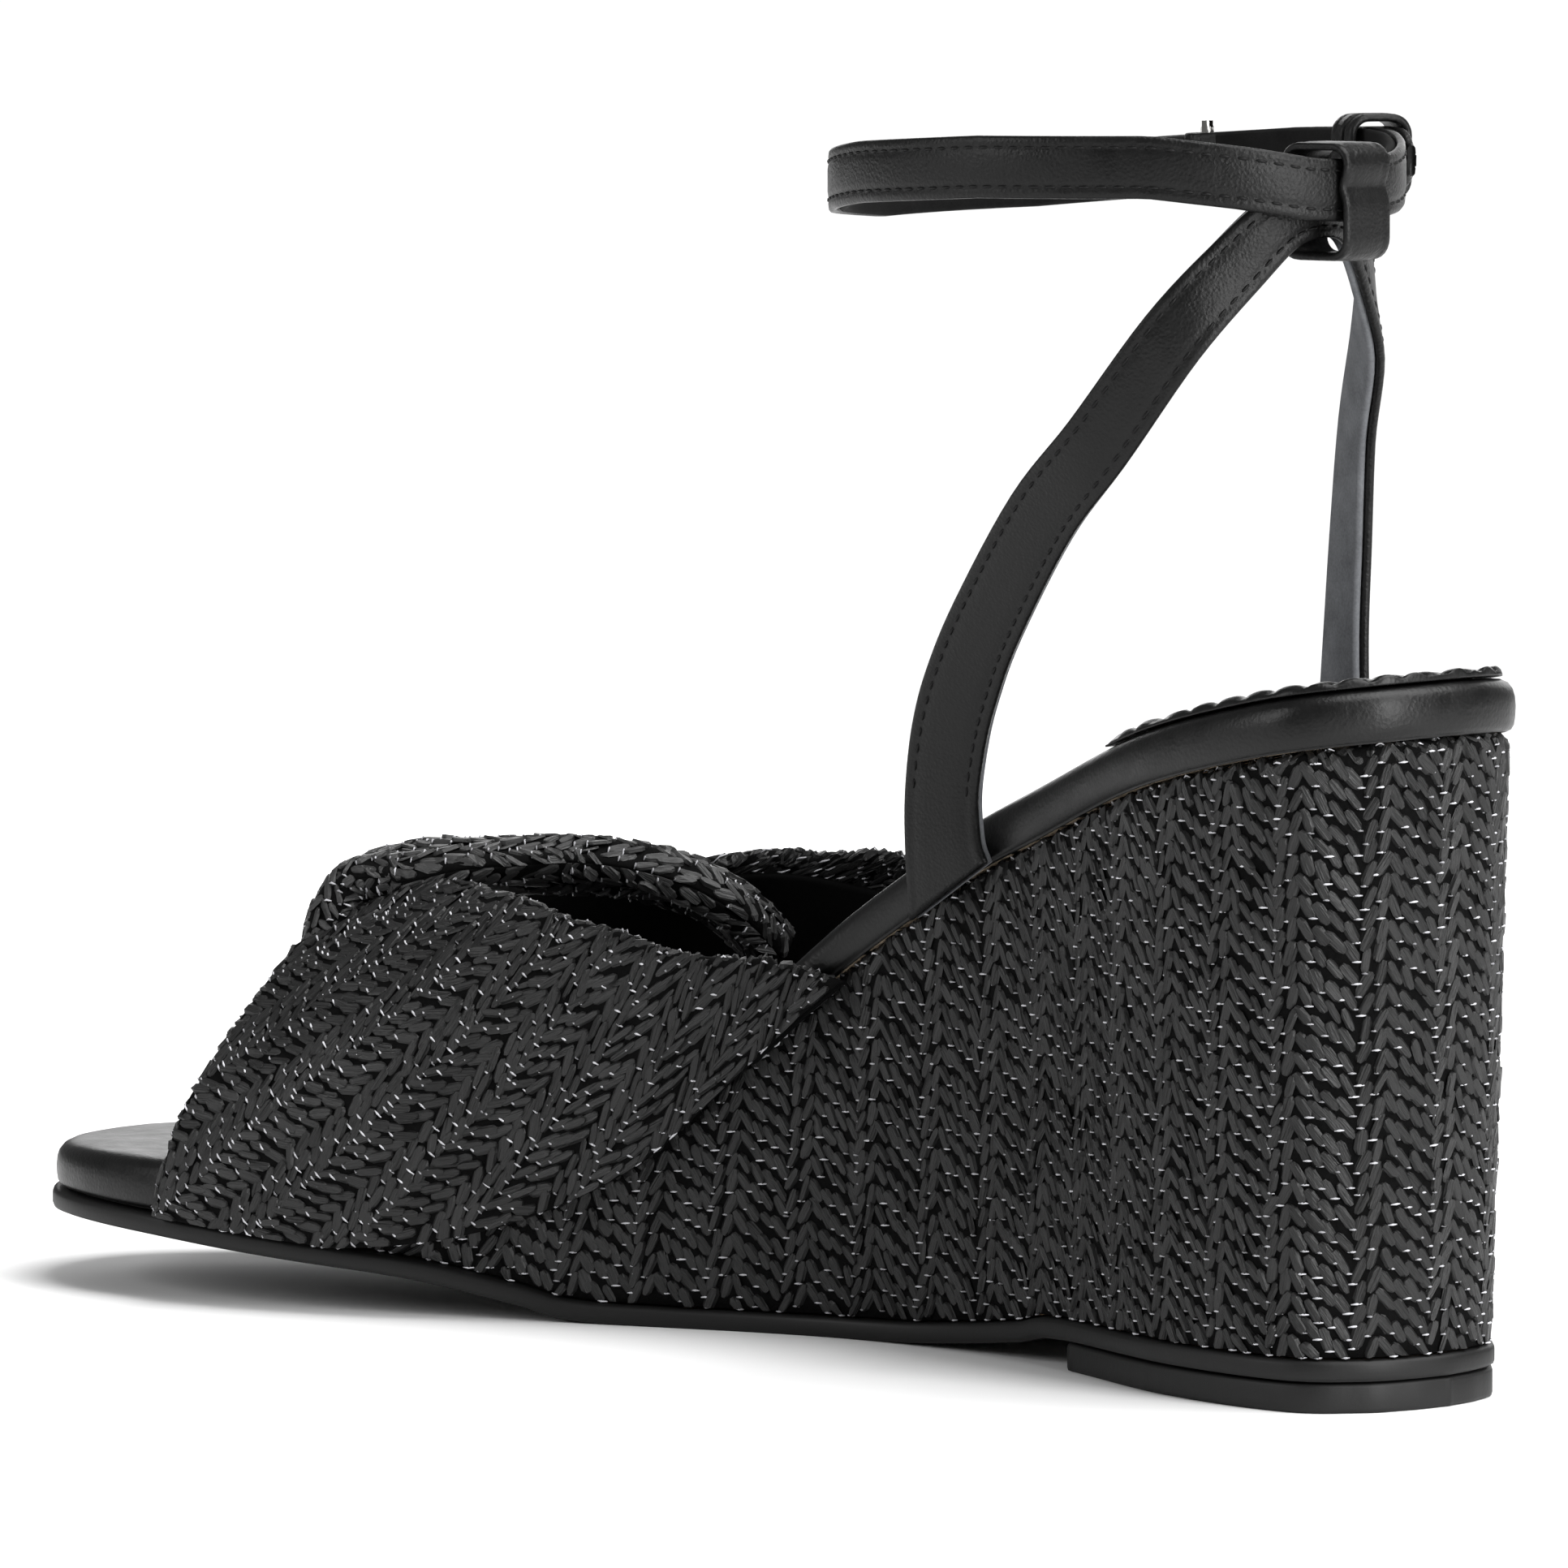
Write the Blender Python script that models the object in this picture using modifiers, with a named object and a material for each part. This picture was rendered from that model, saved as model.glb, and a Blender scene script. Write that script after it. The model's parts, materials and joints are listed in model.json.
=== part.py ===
"""A black wedge sandal for the right foot, in metres: +X to the toe, +Y to the medial side, +Z up.

Lengths below are in millimetres, measured from the back of the heel, and are scaled and moved when
each mesh is made, so that the origin is the middle of the heel lift's flat face on the floor.
"""

import math

import bmesh
import bpy
import numpy as np
from mathutils import Matrix

MM = 0.001
ORIGIN = np.array([30.0, 1.0, 0.0])
GAP = 0.3

# Outline of the footbed seen from above, from the middle of the heel to the middle of the toe.
MEDIAL_OUTLINE = [
    (0, 2), (1.2, 9), (4.5, 16.5), (14, 23), (38, 20.5), (72, 8), (106, 5.5), (142, 16.5),
    (168, 28), (190, 34), (210, 35), (226, 30), (236, 20), (240, 9), (240.3, 2),
]
LATERAL_OUTLINE = [
    (0, 2), (0.8, -5), (3.8, -12), (13, -18.5), (38, -23.5), (72, -31), (107, -37), (142, -43),
    (168, -43), (194, -36), (214, -26), (228, -16), (236, -8), (240.3, 2),
]
OUTLINE_STEPS = 48

# Heights along the shoe.
RIM_TOP = [
    (0, 93.0), (20, 89.8), (46, 83.5), (77, 72.3), (92, 64.5), (106, 55.5), (119, 44.3),
    (132, 32.5), (146, 25.0), (160, 20.8), (175, 19.2), (194, 19.1), (219, 19.3), (232, 19.0),
    (242, 18.8),
]
OUTSOLE_BOTTOM = [
    (0, 4.0), (61, 4.0), (72, 2.6), (86, 1.0), (102, 0.0), (140, 0.0), (150, 1.9), (160, 4.3),
    (168, 5.6), (181, 6.8), (194, 8.0), (206, 9.0), (219, 9.6), (232, 9.8), (242, 9.9),
]
FOOTBED_THICKNESS = [(0, 7.1), (205, 7.1), (219, 6.6), (232, 6.1), (242, 5.8)]
OUTSOLE_THICKNESS = 2.8
LIFT_HEIGHT = 4.0 - GAP
LIFT_FRONT_X = 61.0
WEDGE_FRONT_X = 186.0
HEEL_PAD_FRONT_X = 50.0

# How far each layer stands inside the footbed's outline.
OUTSOLE_INSET = [(0, 2.2), (100, 1.5), (140, 0.4), (190, -1.0), (242, -1.3)]
WEDGE_LOW_INSET = [(0, 2.4), (100, 1.8), (150, 0.9), (200, 0.6)]
WEDGE_TOP_INSET = 0.5
WRAP_THICKNESS = 1.5
COVER_WALL = 1.2
SHANK_WIDTH = 12.0
SHANK_STATIONS = (28, 124)

# Vamp: crown height of the last it is drawn over, and the edges of each band as (x, z).
CROWN = [
    (100, 72), (125, 73), (147, 69), (165, 60.5), (185, 56.3), (195, 53.0), (203, 48.5),
    (210, 42.8), (220, 37),
]
VAMP_THICKNESS = 2.2
VAMP_DROP = 3.0
LINING_THICKNESS = 0.8
# How full the last's section is above the rim, at a station x: 2 is an ellipse, less is flatter.
ROUNDNESS = [(100, 2.2), (160, 2.1), (188, 1.6), (215, 1.6)]
MEDIAL_REAR = [
    (103, 46.0), (106, 47.8), (114, 49.1), (122, 49.3), (137, 51.6), (147, 53.0), (158, 54.8),
    (168, 55.2), (178, 55.2), (184, 55.4), (188, 56.0),
]
MEDIAL_FRONT = [
    (200.5, 12.0), (199, 18), (197, 25), (195, 31), (193.5, 37), (192.5, 42), (192, 46), (192, 51),
    (192.5, 55),
]
LATERAL_REAR = [
    (102, 46.5), (106, 51), (128, 57), (145, 58.3), (156, 57.6), (163, 54.5), (170, 52.3),
    (178, 52.8), (184, 54.2), (188, 55.35),
]
LATERAL_FRONT = [
    (198, 12.0), (198.5, 18), (197.5, 25), (195.5, 32), (194, 38), (193, 43), (192.5, 49),
    (192.5, 53.75),
]
KNOT_PATH = [
    (198, 17, 45.2), (198.5, 11.5, 52.0), (195.5, 6, 58.0), (188.5, 1.5, 60.4), (181, -4, 60.6),
    (173.5, -10, 60.0), (166, -15.5, 58.6), (157, -20.5, 56.0), (148.5, -24.2, 50.8),
    (143, -27.2, 45.0),
]
KNOT_HALF_WIDTHS = [5.0, 6.5, 8.4, 9.6, 9.8, 9.0, 8.0, 7.2, 6.2, 5.0]
KNOT_HALF_THICKNESS = 2.3

# Straps: an outer leather layer and a lining, either side of the middle surface.
STRAP_WIDTH = 8.0
OUTER_LAYER = (0.2, 1.4)
LINING_LAYER = (-1.2, -0.2)
SLING_PATH = [
    ((83.4, 9.0, 59.5), 10.9, (0.05, 1, 0)),
    ((83.0, 9.0, 66.0), 10.9, (0.05, 1, 0)),
    ((82.2, 9.6, 74.0), 10.9, (0.05, 1, 0)),
    ((79.8, 10.8, 82.0), 10.7, (0, 1, -0.1)),
    ((76.0, 12.6, 89.0), 10.4, (0, 1, -0.2)),
    ((69.0, 15.5, 98.0), 10.0, (0, 1, -0.2)),
    ((55.8, 20.0, 112.0), 9.6, (-0.1, 1, -0.1)),
    ((44.6, 22.0, 122.0), 9.2, (-0.3, 1, 0)),
    ((34.5, 19.5, 135.5), 8.8, (-0.6, 0.8, 0)),
    ((30.2, 12.4, 144.5), 8.4, (-0.8, 0.6, 0)),
    ((27.2, 6.6, 150.4), 8.0, (-0.95, 0.3, 0)),
    ((26.0, 0.0, 151.9), 7.8, (-1, 0, 0)),
    ((28.0, -7.2, 150.1), 8.0, (-0.95, -0.3, 0)),
    ((31.6, -14.6, 142.8), 8.4, (-0.8, -0.6, 0)),
    ((36.5, -21.5, 134.0), 8.8, (-0.5, -0.85, 0)),
    ((42.5, -26.5, 122.0), 9.4, (-0.2, -1, 0)),
    ((45.3, -28.6, 107.0), 10.0, (0, -1, 0)),
    ((46.0, -28.6, 95.0), 10.5, (0, -1, 0)),
    ((46.2, -28.5, 84.0), 10.9, (-0.2, -1, 0)),
    ((46.3, -28.5, 74.0), 10.9, (-0.2, -1, 0)),
]
ANKLE_CENTRE = (62.0, -1.0)
ANKLE_SEMI_AXES = (40.0, 30.0)
ANKLE_HEIGHT = [
    (0, 152.9), (30, 153.9), (60, 155.8), (95, 157.0), (130, 157.2), (150, 155.8), (165, 154.4),
    (180, 154.0), (200, 154.9), (225, 157.0), (240, 157.4), (262, 157.0), (286, 155.9), (300, 155.1),
    (320, 154.0), (360, 152.9),
]
# The strap as (angle round the ankle, distance out from its ellipse), from its tail to the buckle bar.
TAIL_PATH = [
    (-132, 2.9), (-127, 2.9), (-122, 2.9), (-116, 2.9), (-110, 2.9), (-105, 2.9), (-100, 2.9),
    (-93, 2.9), (-90, 2.9), (-87, 2.9), (-84, 4.0), (-81, 6.2), (-78, 7.8),
    (-74, 8.2), (-72, 8.0), (-69, 6.2), (-66, 3.9), (-63.5, 1.7), (-61, 0.1), (-58, 0.0),
    (-55, 0.0),
]
CHAPE_ANGLE = 270.0
LINING_END_ANGLE = 280.0
BUCKLE_ANGLE = 286.0

# Buckle: the middle of its centre bar stands this far out from the strap's middle surface.
BAR_OUT = 3.3
WIRE_RADIUS = 1.0
FRAME_HALF_LENGTH = 10.2
FRAME_HALF_HEIGHT = 5.6
FRAME_TILT = math.radians(7.5)
FRAME_ROLL = math.radians(4.7)
FOLD_RADIUS = BAR_OUT - sum(OUTER_LAYER) / 2
PRONG_RADIUS = 0.6
PRONG_RING_RADIUS = 2.0
SLOT_WIDTH = 2.6

KEEPER_ANGLE = 240.0
LOOP_WALL = 1.1
SHARP_ANGLE = math.radians(40)


def table(rows, x):
    """The value at x of a table of (x, value)."""
    xs, values = zip(*rows)
    return np.interp(x, xs, values)


def smooth(points, per_span):
    """A Catmull-Rom curve through the rows of points, with per_span steps between two of them."""
    points = np.asarray(points, float)
    padded = np.vstack([2 * points[0] - points[1], points, 2 * points[-1] - points[-2]])
    rows = []
    for i in range(len(points) - 1):
        a, b, c, d = padded[i : i + 4]
        for step in range(per_span):
            t = step / per_span
            rows.append(
                0.5 * (2 * b + (c - a) * t + (2 * a - 5 * b + 4 * c - d) * t * t
                       + (3 * b - a - 3 * c + d) * t**3)
            )
    rows.append(points[-1])
    return np.array(rows)


def evenly(points, count):
    """The polyline resampled at count + 1 points of equal arc length."""
    steps = np.linalg.norm(np.diff(points, axis=0), axis=1)
    along = np.concatenate([[0], np.cumsum(steps)])
    wanted = np.linspace(0, along[-1], count + 1)
    return np.stack([np.interp(wanted, along, column) for column in points.T], axis=1)


RIM = smooth(RIM_TOP, 6)
SOLE = smooth(OUTSOLE_BOTTOM, 3)
CROWN_LINE = smooth(CROWN, 6)
MEDIAL = smooth(MEDIAL_OUTLINE, 8)
LATERAL = smooth(LATERAL_OUTLINE, 8)


def rim_top(x):
    return np.interp(x, RIM[:, 0], RIM[:, 1])


def footbed_bottom(x):
    return rim_top(x) - table(FOOTBED_THICKNESS, x)


def outsole_bottom(x):
    return np.interp(x, SOLE[:, 0], SOLE[:, 1])


def outsole_top(x):
    return outsole_bottom(x) + OUTSOLE_THICKNESS


def shade(obj):
    """Smooth shading, with the real corners left sharp."""
    obj.data.shade_smooth()
    obj.data.set_sharp_from_angle(angle=SHARP_ANGLE)


def mesh_object(name, points, faces, collection, pivot=(0, 0, 0)):
    """Makes an object of points in millimetres, facing out, with its origin at pivot."""
    points = np.asarray(points, float)
    mesh = bpy.data.meshes.new(name)
    local = (points - np.asarray(pivot, float)) * MM
    mesh.from_pydata([tuple(point) for point in local], [], faces)
    body = bmesh.new()
    body.from_mesh(mesh)
    bmesh.ops.triangulate(body, faces=[face for face in body.faces if len(face.verts) > 4])
    bmesh.ops.recalc_face_normals(body, faces=body.faces)
    if body.calc_volume(signed=True) < 0:
        bmesh.ops.reverse_faces(body, faces=body.faces)
    body.to_mesh(mesh)
    body.free()
    obj = bpy.data.objects.new(name, mesh)
    obj.location = (np.asarray(pivot, float) - ORIGIN) * MM
    collection.objects.link(obj)
    return obj


def boolean(obj, cutter, operation="DIFFERENCE"):
    modifier = obj.modifiers.new(operation.title(), "BOOLEAN")
    modifier.operation = operation
    modifier.solver = "EXACT"
    modifier.object = cutter


def offset_side(points, inset, left):
    """The open polyline moved sideways by inset(x), towards the inside of the outline."""
    tangents = np.gradient(points, axis=0)
    tangents /= np.linalg.norm(tangents, axis=1)[:, None]
    normals = np.stack([tangents[:, 1], -tangents[:, 0]], axis=1) * (1 if left else -1)
    return points + normals * np.asarray(inset)[:, None]


def sides(inset_rows, rear=None, front=None):
    """The medial and lateral outlines, inset, cut at the stations x = rear and x = front."""
    found = []
    for points, left in ((MEDIAL, True), (LATERAL, False)):
        even = evenly(points, OUTLINE_STEPS * 4)
        moved = offset_side(even, table(inset_rows, even[:, 0]), left)
        if rear is not None:
            moved = moved[moved[:, 0] >= rear]
        if front is not None:
            moved = moved[moved[:, 0] <= front]
            moved[-1, 0] = front
        found.append(evenly(moved, OUTLINE_STEPS))
    # Both sides share the middle of the toe and of the heel.
    for end, cut in ((0, rear), (-1, front)):
        if cut is None:
            middle = (found[0][end] + found[1][end]) / 2
            found[0][end] = middle
            found[1][end] = middle
    return found


def layer(name, low_inset, high_inset, low, high, collection, rear=None, front=None):
    """A solid between two heights along the shoe, with walls that follow the outline."""
    rings = []
    for inset, height in ((low_inset, low), (high_inset, high)):
        rows = inset if isinstance(inset, list) else [(0, inset)]
        rings.append([
            np.column_stack([side, height(side[:, 0])]) for side in sides(rows, rear, front)
        ])
    (low_medial, low_lateral), (high_medial, high_lateral) = rings
    points = np.vstack([low_medial, low_lateral, high_medial, high_lateral])
    count = OUTLINE_STEPS + 1
    a, b, c, d = 0, count, 2 * count, 3 * count
    faces = []
    for i in range(OUTLINE_STEPS):
        j = i + 1
        faces.append((a + i, a + j, b + j, b + i))
        faces.append((c + i, d + i, d + j, c + j))
        faces.append((a + i, c + i, c + j, a + j))
        faces.append((b + i, b + j, d + j, d + i))
    faces.append((a, b, d, c))
    last = OUTLINE_STEPS
    faces.append((a + last, c + last, d + last, b + last))
    obj = mesh_object(name, points, faces, collection)
    weld(obj)
    return obj


def weld(obj):
    """Joins the shared end points of an object's two sides."""
    body = bmesh.new()
    body.from_mesh(obj.data)
    bmesh.ops.remove_doubles(body, verts=body.verts, dist=1e-7)
    bmesh.ops.recalc_face_normals(body, faces=body.faces)
    if body.calc_volume(signed=True) < 0:
        bmesh.ops.reverse_faces(body, faces=body.faces)
    body.to_mesh(obj.data)
    body.free()


def frames(points, normals, closed):
    """Unit tangents, normals square to them, and the directions across."""
    points = np.asarray(points, float)
    if closed:
        tangents = np.roll(points, -1, axis=0) - np.roll(points, 1, axis=0)
    else:
        tangents = np.gradient(points, axis=0)
    tangents /= np.linalg.norm(tangents, axis=1)[:, None]
    normals = np.asarray(normals, float)
    normals = normals - np.sum(normals * tangents, axis=1)[:, None] * tangents
    normals /= np.linalg.norm(normals, axis=1)[:, None]
    return tangents, normals, np.cross(tangents, normals)


def sweep(name, points, normals, profiles, collection):
    """A loft whose section at each point is a closed profile of (across, out) pairs."""
    points = np.asarray(points, float)
    _, normals, across = frames(points, normals, False)
    size = len(profiles[0])
    rows = []
    for i, point in enumerate(points):
        for side, out in profiles[i]:
            rows.append(point + across[i] * side + normals[i] * out)
    faces = []
    for i in range(len(points) - 1):
        near, far = i * size, (i + 1) * size
        for j in range(size):
            k = (j + 1) % size
            faces.append((near + j, near + k, far + k, far + j))
    faces.append(tuple(range(size)))
    faces.append(tuple(range((len(points) - 1) * size, len(points) * size)))
    return mesh_object(name, rows, faces, collection)


def ribbon(name, points, normals, widths, layer_out, collection, closed=False, pivot=(0, 0, 0)):
    """A flat band along the points: its surface at layer_out[0], thickened to layer_out[1]."""
    points = np.asarray(points, float)
    _, normals, across = frames(points, normals, closed)
    halves = np.broadcast_to(np.asarray(widths, float) / 2, len(points))[:, None]
    base = points + normals * layer_out[0]
    grid = np.stack([base - across * halves, base + across * halves], axis=1)
    obj = grid_surface(name, grid, collection, pivot, closed)
    face = obj.data.polygons[0]
    if np.dot(face.normal, normals[0]) < 0:
        obj.data.flip_normals()
    return solidify(obj, layer_out[1] - layer_out[0], 1)


def oval(half_width, half_thickness, count=10):
    turns = [2 * math.pi * i / count for i in range(count)]
    return [(half_width * math.cos(turn), half_thickness * math.sin(turn)) for turn in turns]


def solidify(obj, thickness, offset):
    """Gives an open surface a wall, outside it with offset 1 and inside it with offset -1."""
    modifier = obj.modifiers.new("Solidify", "SOLIDIFY")
    modifier.thickness = thickness * MM
    modifier.offset = offset
    return obj


def grid_surface(name, grid, collection, pivot=(0, 0, 0), closed=False):
    """An open surface through a grid of points, with its normals away from the foot."""
    rows, columns = grid.shape[:2]
    mesh = bpy.data.meshes.new(name)
    body = bmesh.new()
    local = (grid - np.asarray(pivot, float)) * MM
    verts = [[body.verts.new(point) for point in row] for row in local]
    for i in range(rows if closed else rows - 1):
        k = (i + 1) % rows
        for j in range(columns - 1):
            body.faces.new((verts[i][j], verts[k][j], verts[k][j + 1], verts[i][j + 1]))
    body.to_mesh(mesh)
    body.free()
    obj = bpy.data.objects.new(name, mesh)
    obj.location = (np.asarray(pivot, float) - ORIGIN) * MM
    collection.objects.link(obj)
    return obj


def face_towards(obj, direction_of):
    """Turns the surface over if its faces look against direction_of(centre)."""
    total = 0.0
    for face in obj.data.polygons:
        centre = np.array(obj.location + face.center) / MM + ORIGIN
        total += face.area * float(np.dot(direction_of(centre), face.normal))
    if total < 0:
        obj.data.flip_normals()


def moved_along_normals(grid, distance, away_from):
    """The grid moved by distance along its normals, which point away from a middle line."""
    normals = np.cross(np.gradient(grid, axis=1), np.gradient(grid, axis=0))
    normals /= np.linalg.norm(normals, axis=2)[..., None]
    if np.sum((grid - away_from(grid)) * normals) < 0:
        normals = -normals
    return grid + normals * distance


def under_foot(grid):
    """The point inside the foot beside each point of a grid."""
    middle = np.array(grid, float)
    middle[..., 1] = -8
    middle[..., 2] = 20
    return middle


def side_y(x, medial):
    points = MEDIAL if medial else LATERAL
    usable = points[(points[:, 0] > 20) & (points[:, 0] < 232)]
    return np.interp(x, usable[:, 0], usable[:, 1])


def vamp_base(x):
    return max(footbed_bottom(x) - VAMP_DROP, outsole_top(x) + GAP)


def last_point(x, height, medial):
    """The last's surface at station x. Height runs 0 at the vamp's lower edge, 1 at the rim, 2 at the crown."""
    wall = GAP + 0.35
    right = side_y(x, False) - wall
    left = side_y(x, True) + wall
    rim = rim_top(x)
    base = vamp_base(x)
    edge = left if medial else right
    if height <= 1:
        return np.array([x, edge, base + (rim - base) * height])
    middle = (left + right) / 2
    crown = np.interp(x, CROWN_LINE[:, 0], CROWN_LINE[:, 1])
    turn = math.radians(min(height - 1, 1) * 90)
    flat = 2 / table(ROUNDNESS, x)
    y = middle + (edge - middle) * math.cos(turn) ** flat
    z = rim + (crown - rim) * math.sin(turn) ** flat
    return np.array([x, y, z])


def height_at(x, z):
    """The height parameter of last_point that gives z at station x."""
    rim = rim_top(x)
    base = vamp_base(x)
    if z <= rim:
        return max(0.0, (z - base) / (rim - base))
    crown = np.interp(x, CROWN_LINE[:, 0], CROWN_LINE[:, 1])
    share = min(1.0, (z - rim) / (crown - rim))
    return 1 + math.degrees(math.asin(share ** (table(ROUNDNESS, x) / 2))) / 90


def vamp_grid(rear, front, medial, from_base, spans=12, levels=12, inset=0.0):
    """Points of the last between the rear and front edges of one band."""
    edges = []
    for rows in (rear, front):
        marks = np.array([(x, height_at(x, z)) for x, z in rows])
        if from_base:
            marks[0, 1] = 0.0
        edges.append(evenly(smooth(marks * np.array([1, 40]), 6), levels) / np.array([1, 40]))
    grid = []
    for share in np.linspace(inset, 1 - inset, spans + 1):
        row = []
        for level in range(levels + 1):
            mark = (1 - share) * edges[0][level] + share * edges[1][level]
            row.append(last_point(mark[0], mark[1], medial))
        grid.append(row)
    return np.array(grid)


def ankle_frame(angle):
    """A point of the ankle ellipse at strap height, and the direction out from it."""
    turn = math.radians(angle)
    a, b = ANKLE_SEMI_AXES
    height = table(ANKLE_HEIGHT, angle % 360)
    point = np.array([
        ANKLE_CENTRE[0] + a * math.cos(turn), ANKLE_CENTRE[1] + b * math.sin(turn), height
    ])
    out = np.array([math.cos(turn) / a, math.sin(turn) / b, 0])
    return point, out / np.linalg.norm(out)


def ankle_path(rows):
    """Points and outward directions of a strap given as (angle, distance out)."""
    points, normals = [], []
    for angle, out in rows:
        point, normal = ankle_frame(angle)
        points.append(point + normal * out)
        normals.append(normal)
    return np.array(points), np.array(normals)


def buckle_axes():
    """The buckle's centre and its unit axes: to the front of the shoe, up, and out."""
    point, out = ankle_frame(BUCKLE_ANGLE)
    forward = np.array([-out[1], out[0], 0])
    up = np.array([0.0, 0.0, 1.0])
    return point, forward, up, out


def buckle_point(forward_mm, up_mm, out_mm):
    point, forward, up, out = buckle_axes()
    return point + forward * forward_mm + up * up_mm + out * out_mm


def frame_point(forward_mm, up_mm, out_mm=0.0):
    """A point in the buckle frame's own plane, which is rolled and tilted about the centre bar."""
    along = forward_mm * math.cos(FRAME_ROLL) + up_mm * math.sin(FRAME_ROLL)
    rise = up_mm * math.cos(FRAME_ROLL) - forward_mm * math.sin(FRAME_ROLL)
    return buckle_point(
        along * math.cos(FRAME_TILT) + out_mm * math.sin(FRAME_TILT),
        rise,
        BAR_OUT - along * math.sin(FRAME_TILT) + out_mm * math.cos(FRAME_TILT),
    )


def rounded_rectangle(half_a, half_b, radius, per_corner=4):
    rows = []
    for corner, (sign_a, sign_b) in enumerate(((1, 1), (-1, 1), (-1, -1), (1, -1))):
        for step in range(per_corner):
            turn = math.radians(90 * corner + 90 * step / (per_corner - 1))
            rows.append((
                sign_a * (half_a - radius) + radius * math.cos(turn),
                sign_b * (half_b - radius) + radius * math.sin(turn),
            ))
    return rows


def wire(name, points, radius, collection, pivot=(0, 0, 0), closed=False):
    """A round wire along the points, made a mesh so that Booleans can join it to others."""
    curve = bpy.data.curves.new(name, "CURVE")
    curve.dimensions = "3D"
    curve.bevel_depth = radius * MM
    curve.bevel_resolution = 2
    curve.use_fill_caps = not closed
    spline = curve.splines.new("POLY")
    spline.points.add(len(points) - 1)
    for target, point in zip(spline.points, points):
        target.co = (*((np.asarray(point) - pivot) * MM), 1)
    spline.use_cyclic_u = closed
    guide = bpy.data.objects.new(name + "_guide", curve)
    collection.objects.link(guide)
    bpy.context.view_layer.update()
    graph = bpy.context.evaluated_depsgraph_get()
    mesh = bpy.data.meshes.new_from_object(guide.evaluated_get(graph))
    bpy.data.objects.remove(guide)
    mesh.name = name
    obj = bpy.data.objects.new(name, mesh)
    obj.location = (np.asarray(pivot, float) - ORIGIN) * MM
    collection.objects.link(obj)
    weld(obj)
    return obj


def slot_cutter(name, low, high, collection):
    """A block between two corners in the buckle's axes."""
    low = np.asarray(low, float)
    high = np.asarray(high, float)
    mesh = bpy.data.meshes.new(name)
    body = bmesh.new()
    bmesh.ops.create_cube(body, size=1)
    bmesh.ops.scale(body, verts=body.verts, vec=(high - low) * MM)
    body.to_mesh(mesh)
    body.free()
    obj = bpy.data.objects.new(name, mesh)
    _, forward, up, out = buckle_axes()
    turn = Matrix(np.column_stack([forward, -out, up]))
    middle = (low + high) / 2
    place = buckle_point(middle[0], middle[2], -middle[1]) - ORIGIN
    obj.matrix_world = Matrix.Translation(place * MM) @ turn.to_4x4()
    collection.objects.link(obj)
    return obj


def make_sole(build, cutters):
    """The outsole, heel lift, wedge, its wrap, board, shank, foam, cover and heel pad."""
    outsole = layer(
        "outsole", OUTSOLE_INSET, OUTSOLE_INSET, outsole_bottom, outsole_top, build
    )
    lift = layer(
        "heel_lift", 2.6, 2.4, lambda x: 0 * x, lambda x: 0 * x + LIFT_HEIGHT, build,
        front=LIFT_FRONT_X,
    )
    wall = WRAP_THICKNESS + 2 * GAP
    core_low = [(x, inset + wall) for x, inset in WEDGE_LOW_INSET]

    def wedge_low(x):
        return outsole_top(x) + GAP

    def wedge_high(x):
        return footbed_bottom(x) - GAP

    core = layer(
        "wedge_core", core_low, WEDGE_TOP_INSET + wall, wedge_low, wedge_high, build,
        front=WEDGE_FRONT_X,
    )
    make_wrap(build, wedge_low, lambda x: wedge_high(x) - GAP)

    def board_top(x):
        return footbed_bottom(x) + 2.2

    inner = COVER_WALL + GAP
    board = layer("insole_board", inner, inner, footbed_bottom, board_top, build)
    foam = layer(
        "footbed_foam", inner, inner,
        lambda x: board_top(x) + GAP, lambda x: rim_top(x) - COVER_WALL - GAP, build,
    )
    cover = layer("footbed_cover", 0.0, 0.0, footbed_bottom, rim_top, build)
    cavity = layer(
        "cover_cavity", COVER_WALL, COVER_WALL,
        lambda x: footbed_bottom(x) - 2, lambda x: rim_top(x) - COVER_WALL, cutters,
    )
    boolean(cover, cavity)
    pad = layer(
        "heel_pad", 1.2, 1.8, lambda x: rim_top(x) + GAP, lambda x: rim_top(x) + 1.4, build,
        front=HEEL_PAD_FRONT_X,
    )
    make_shank(core, build, cutters)
    return outsole, lift, core, board, foam, cover, pad


def make_wrap(build, low, high):
    """The raffia skin of the wedge: one open band from the front of one side round to the other."""
    edges = []
    for inset, height in ((WEDGE_LOW_INSET, low), ([(0, WEDGE_TOP_INSET)], high)):
        medial, lateral = sides(inset, front=WEDGE_FRONT_X)
        loop = np.vstack([medial[::-1], lateral[1:]])
        edges.append(np.column_stack([loop, height(loop[:, 0])]))
    grid = np.stack(edges, axis=1)
    wrap = grid_surface("wedge_wrap", grid, build)
    face_towards(wrap, lambda centre: np.array([0, centre[1] + 5, 0]))
    solidify(wrap, WRAP_THICKNESS, -1)


def make_shank(core, build, cutters):
    """A steel strip let into the top of the wedge."""
    for name, width, extra, layer_out, home in (
        ("shank", SHANK_WIDTH, 0.0, (-1.9, -0.7), build),
        ("shank_groove", SHANK_WIDTH + 0.8, 0.6, (-2.4, 3.0), cutters),
    ):
        rear, front = SHANK_STATIONS
        stations = np.linspace(rear - extra, front + extra, 13)
        middle = np.column_stack([
            stations, np.interp(stations, SHANK_STATIONS, (1, -14)),
            footbed_bottom(stations) - GAP,
        ])
        normals = np.tile([0, 0, 1.0], (len(middle), 1))
        made = ribbon(name, middle, normals, width, layer_out, home)
        if home is cutters:
            boolean(core, made)


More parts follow.
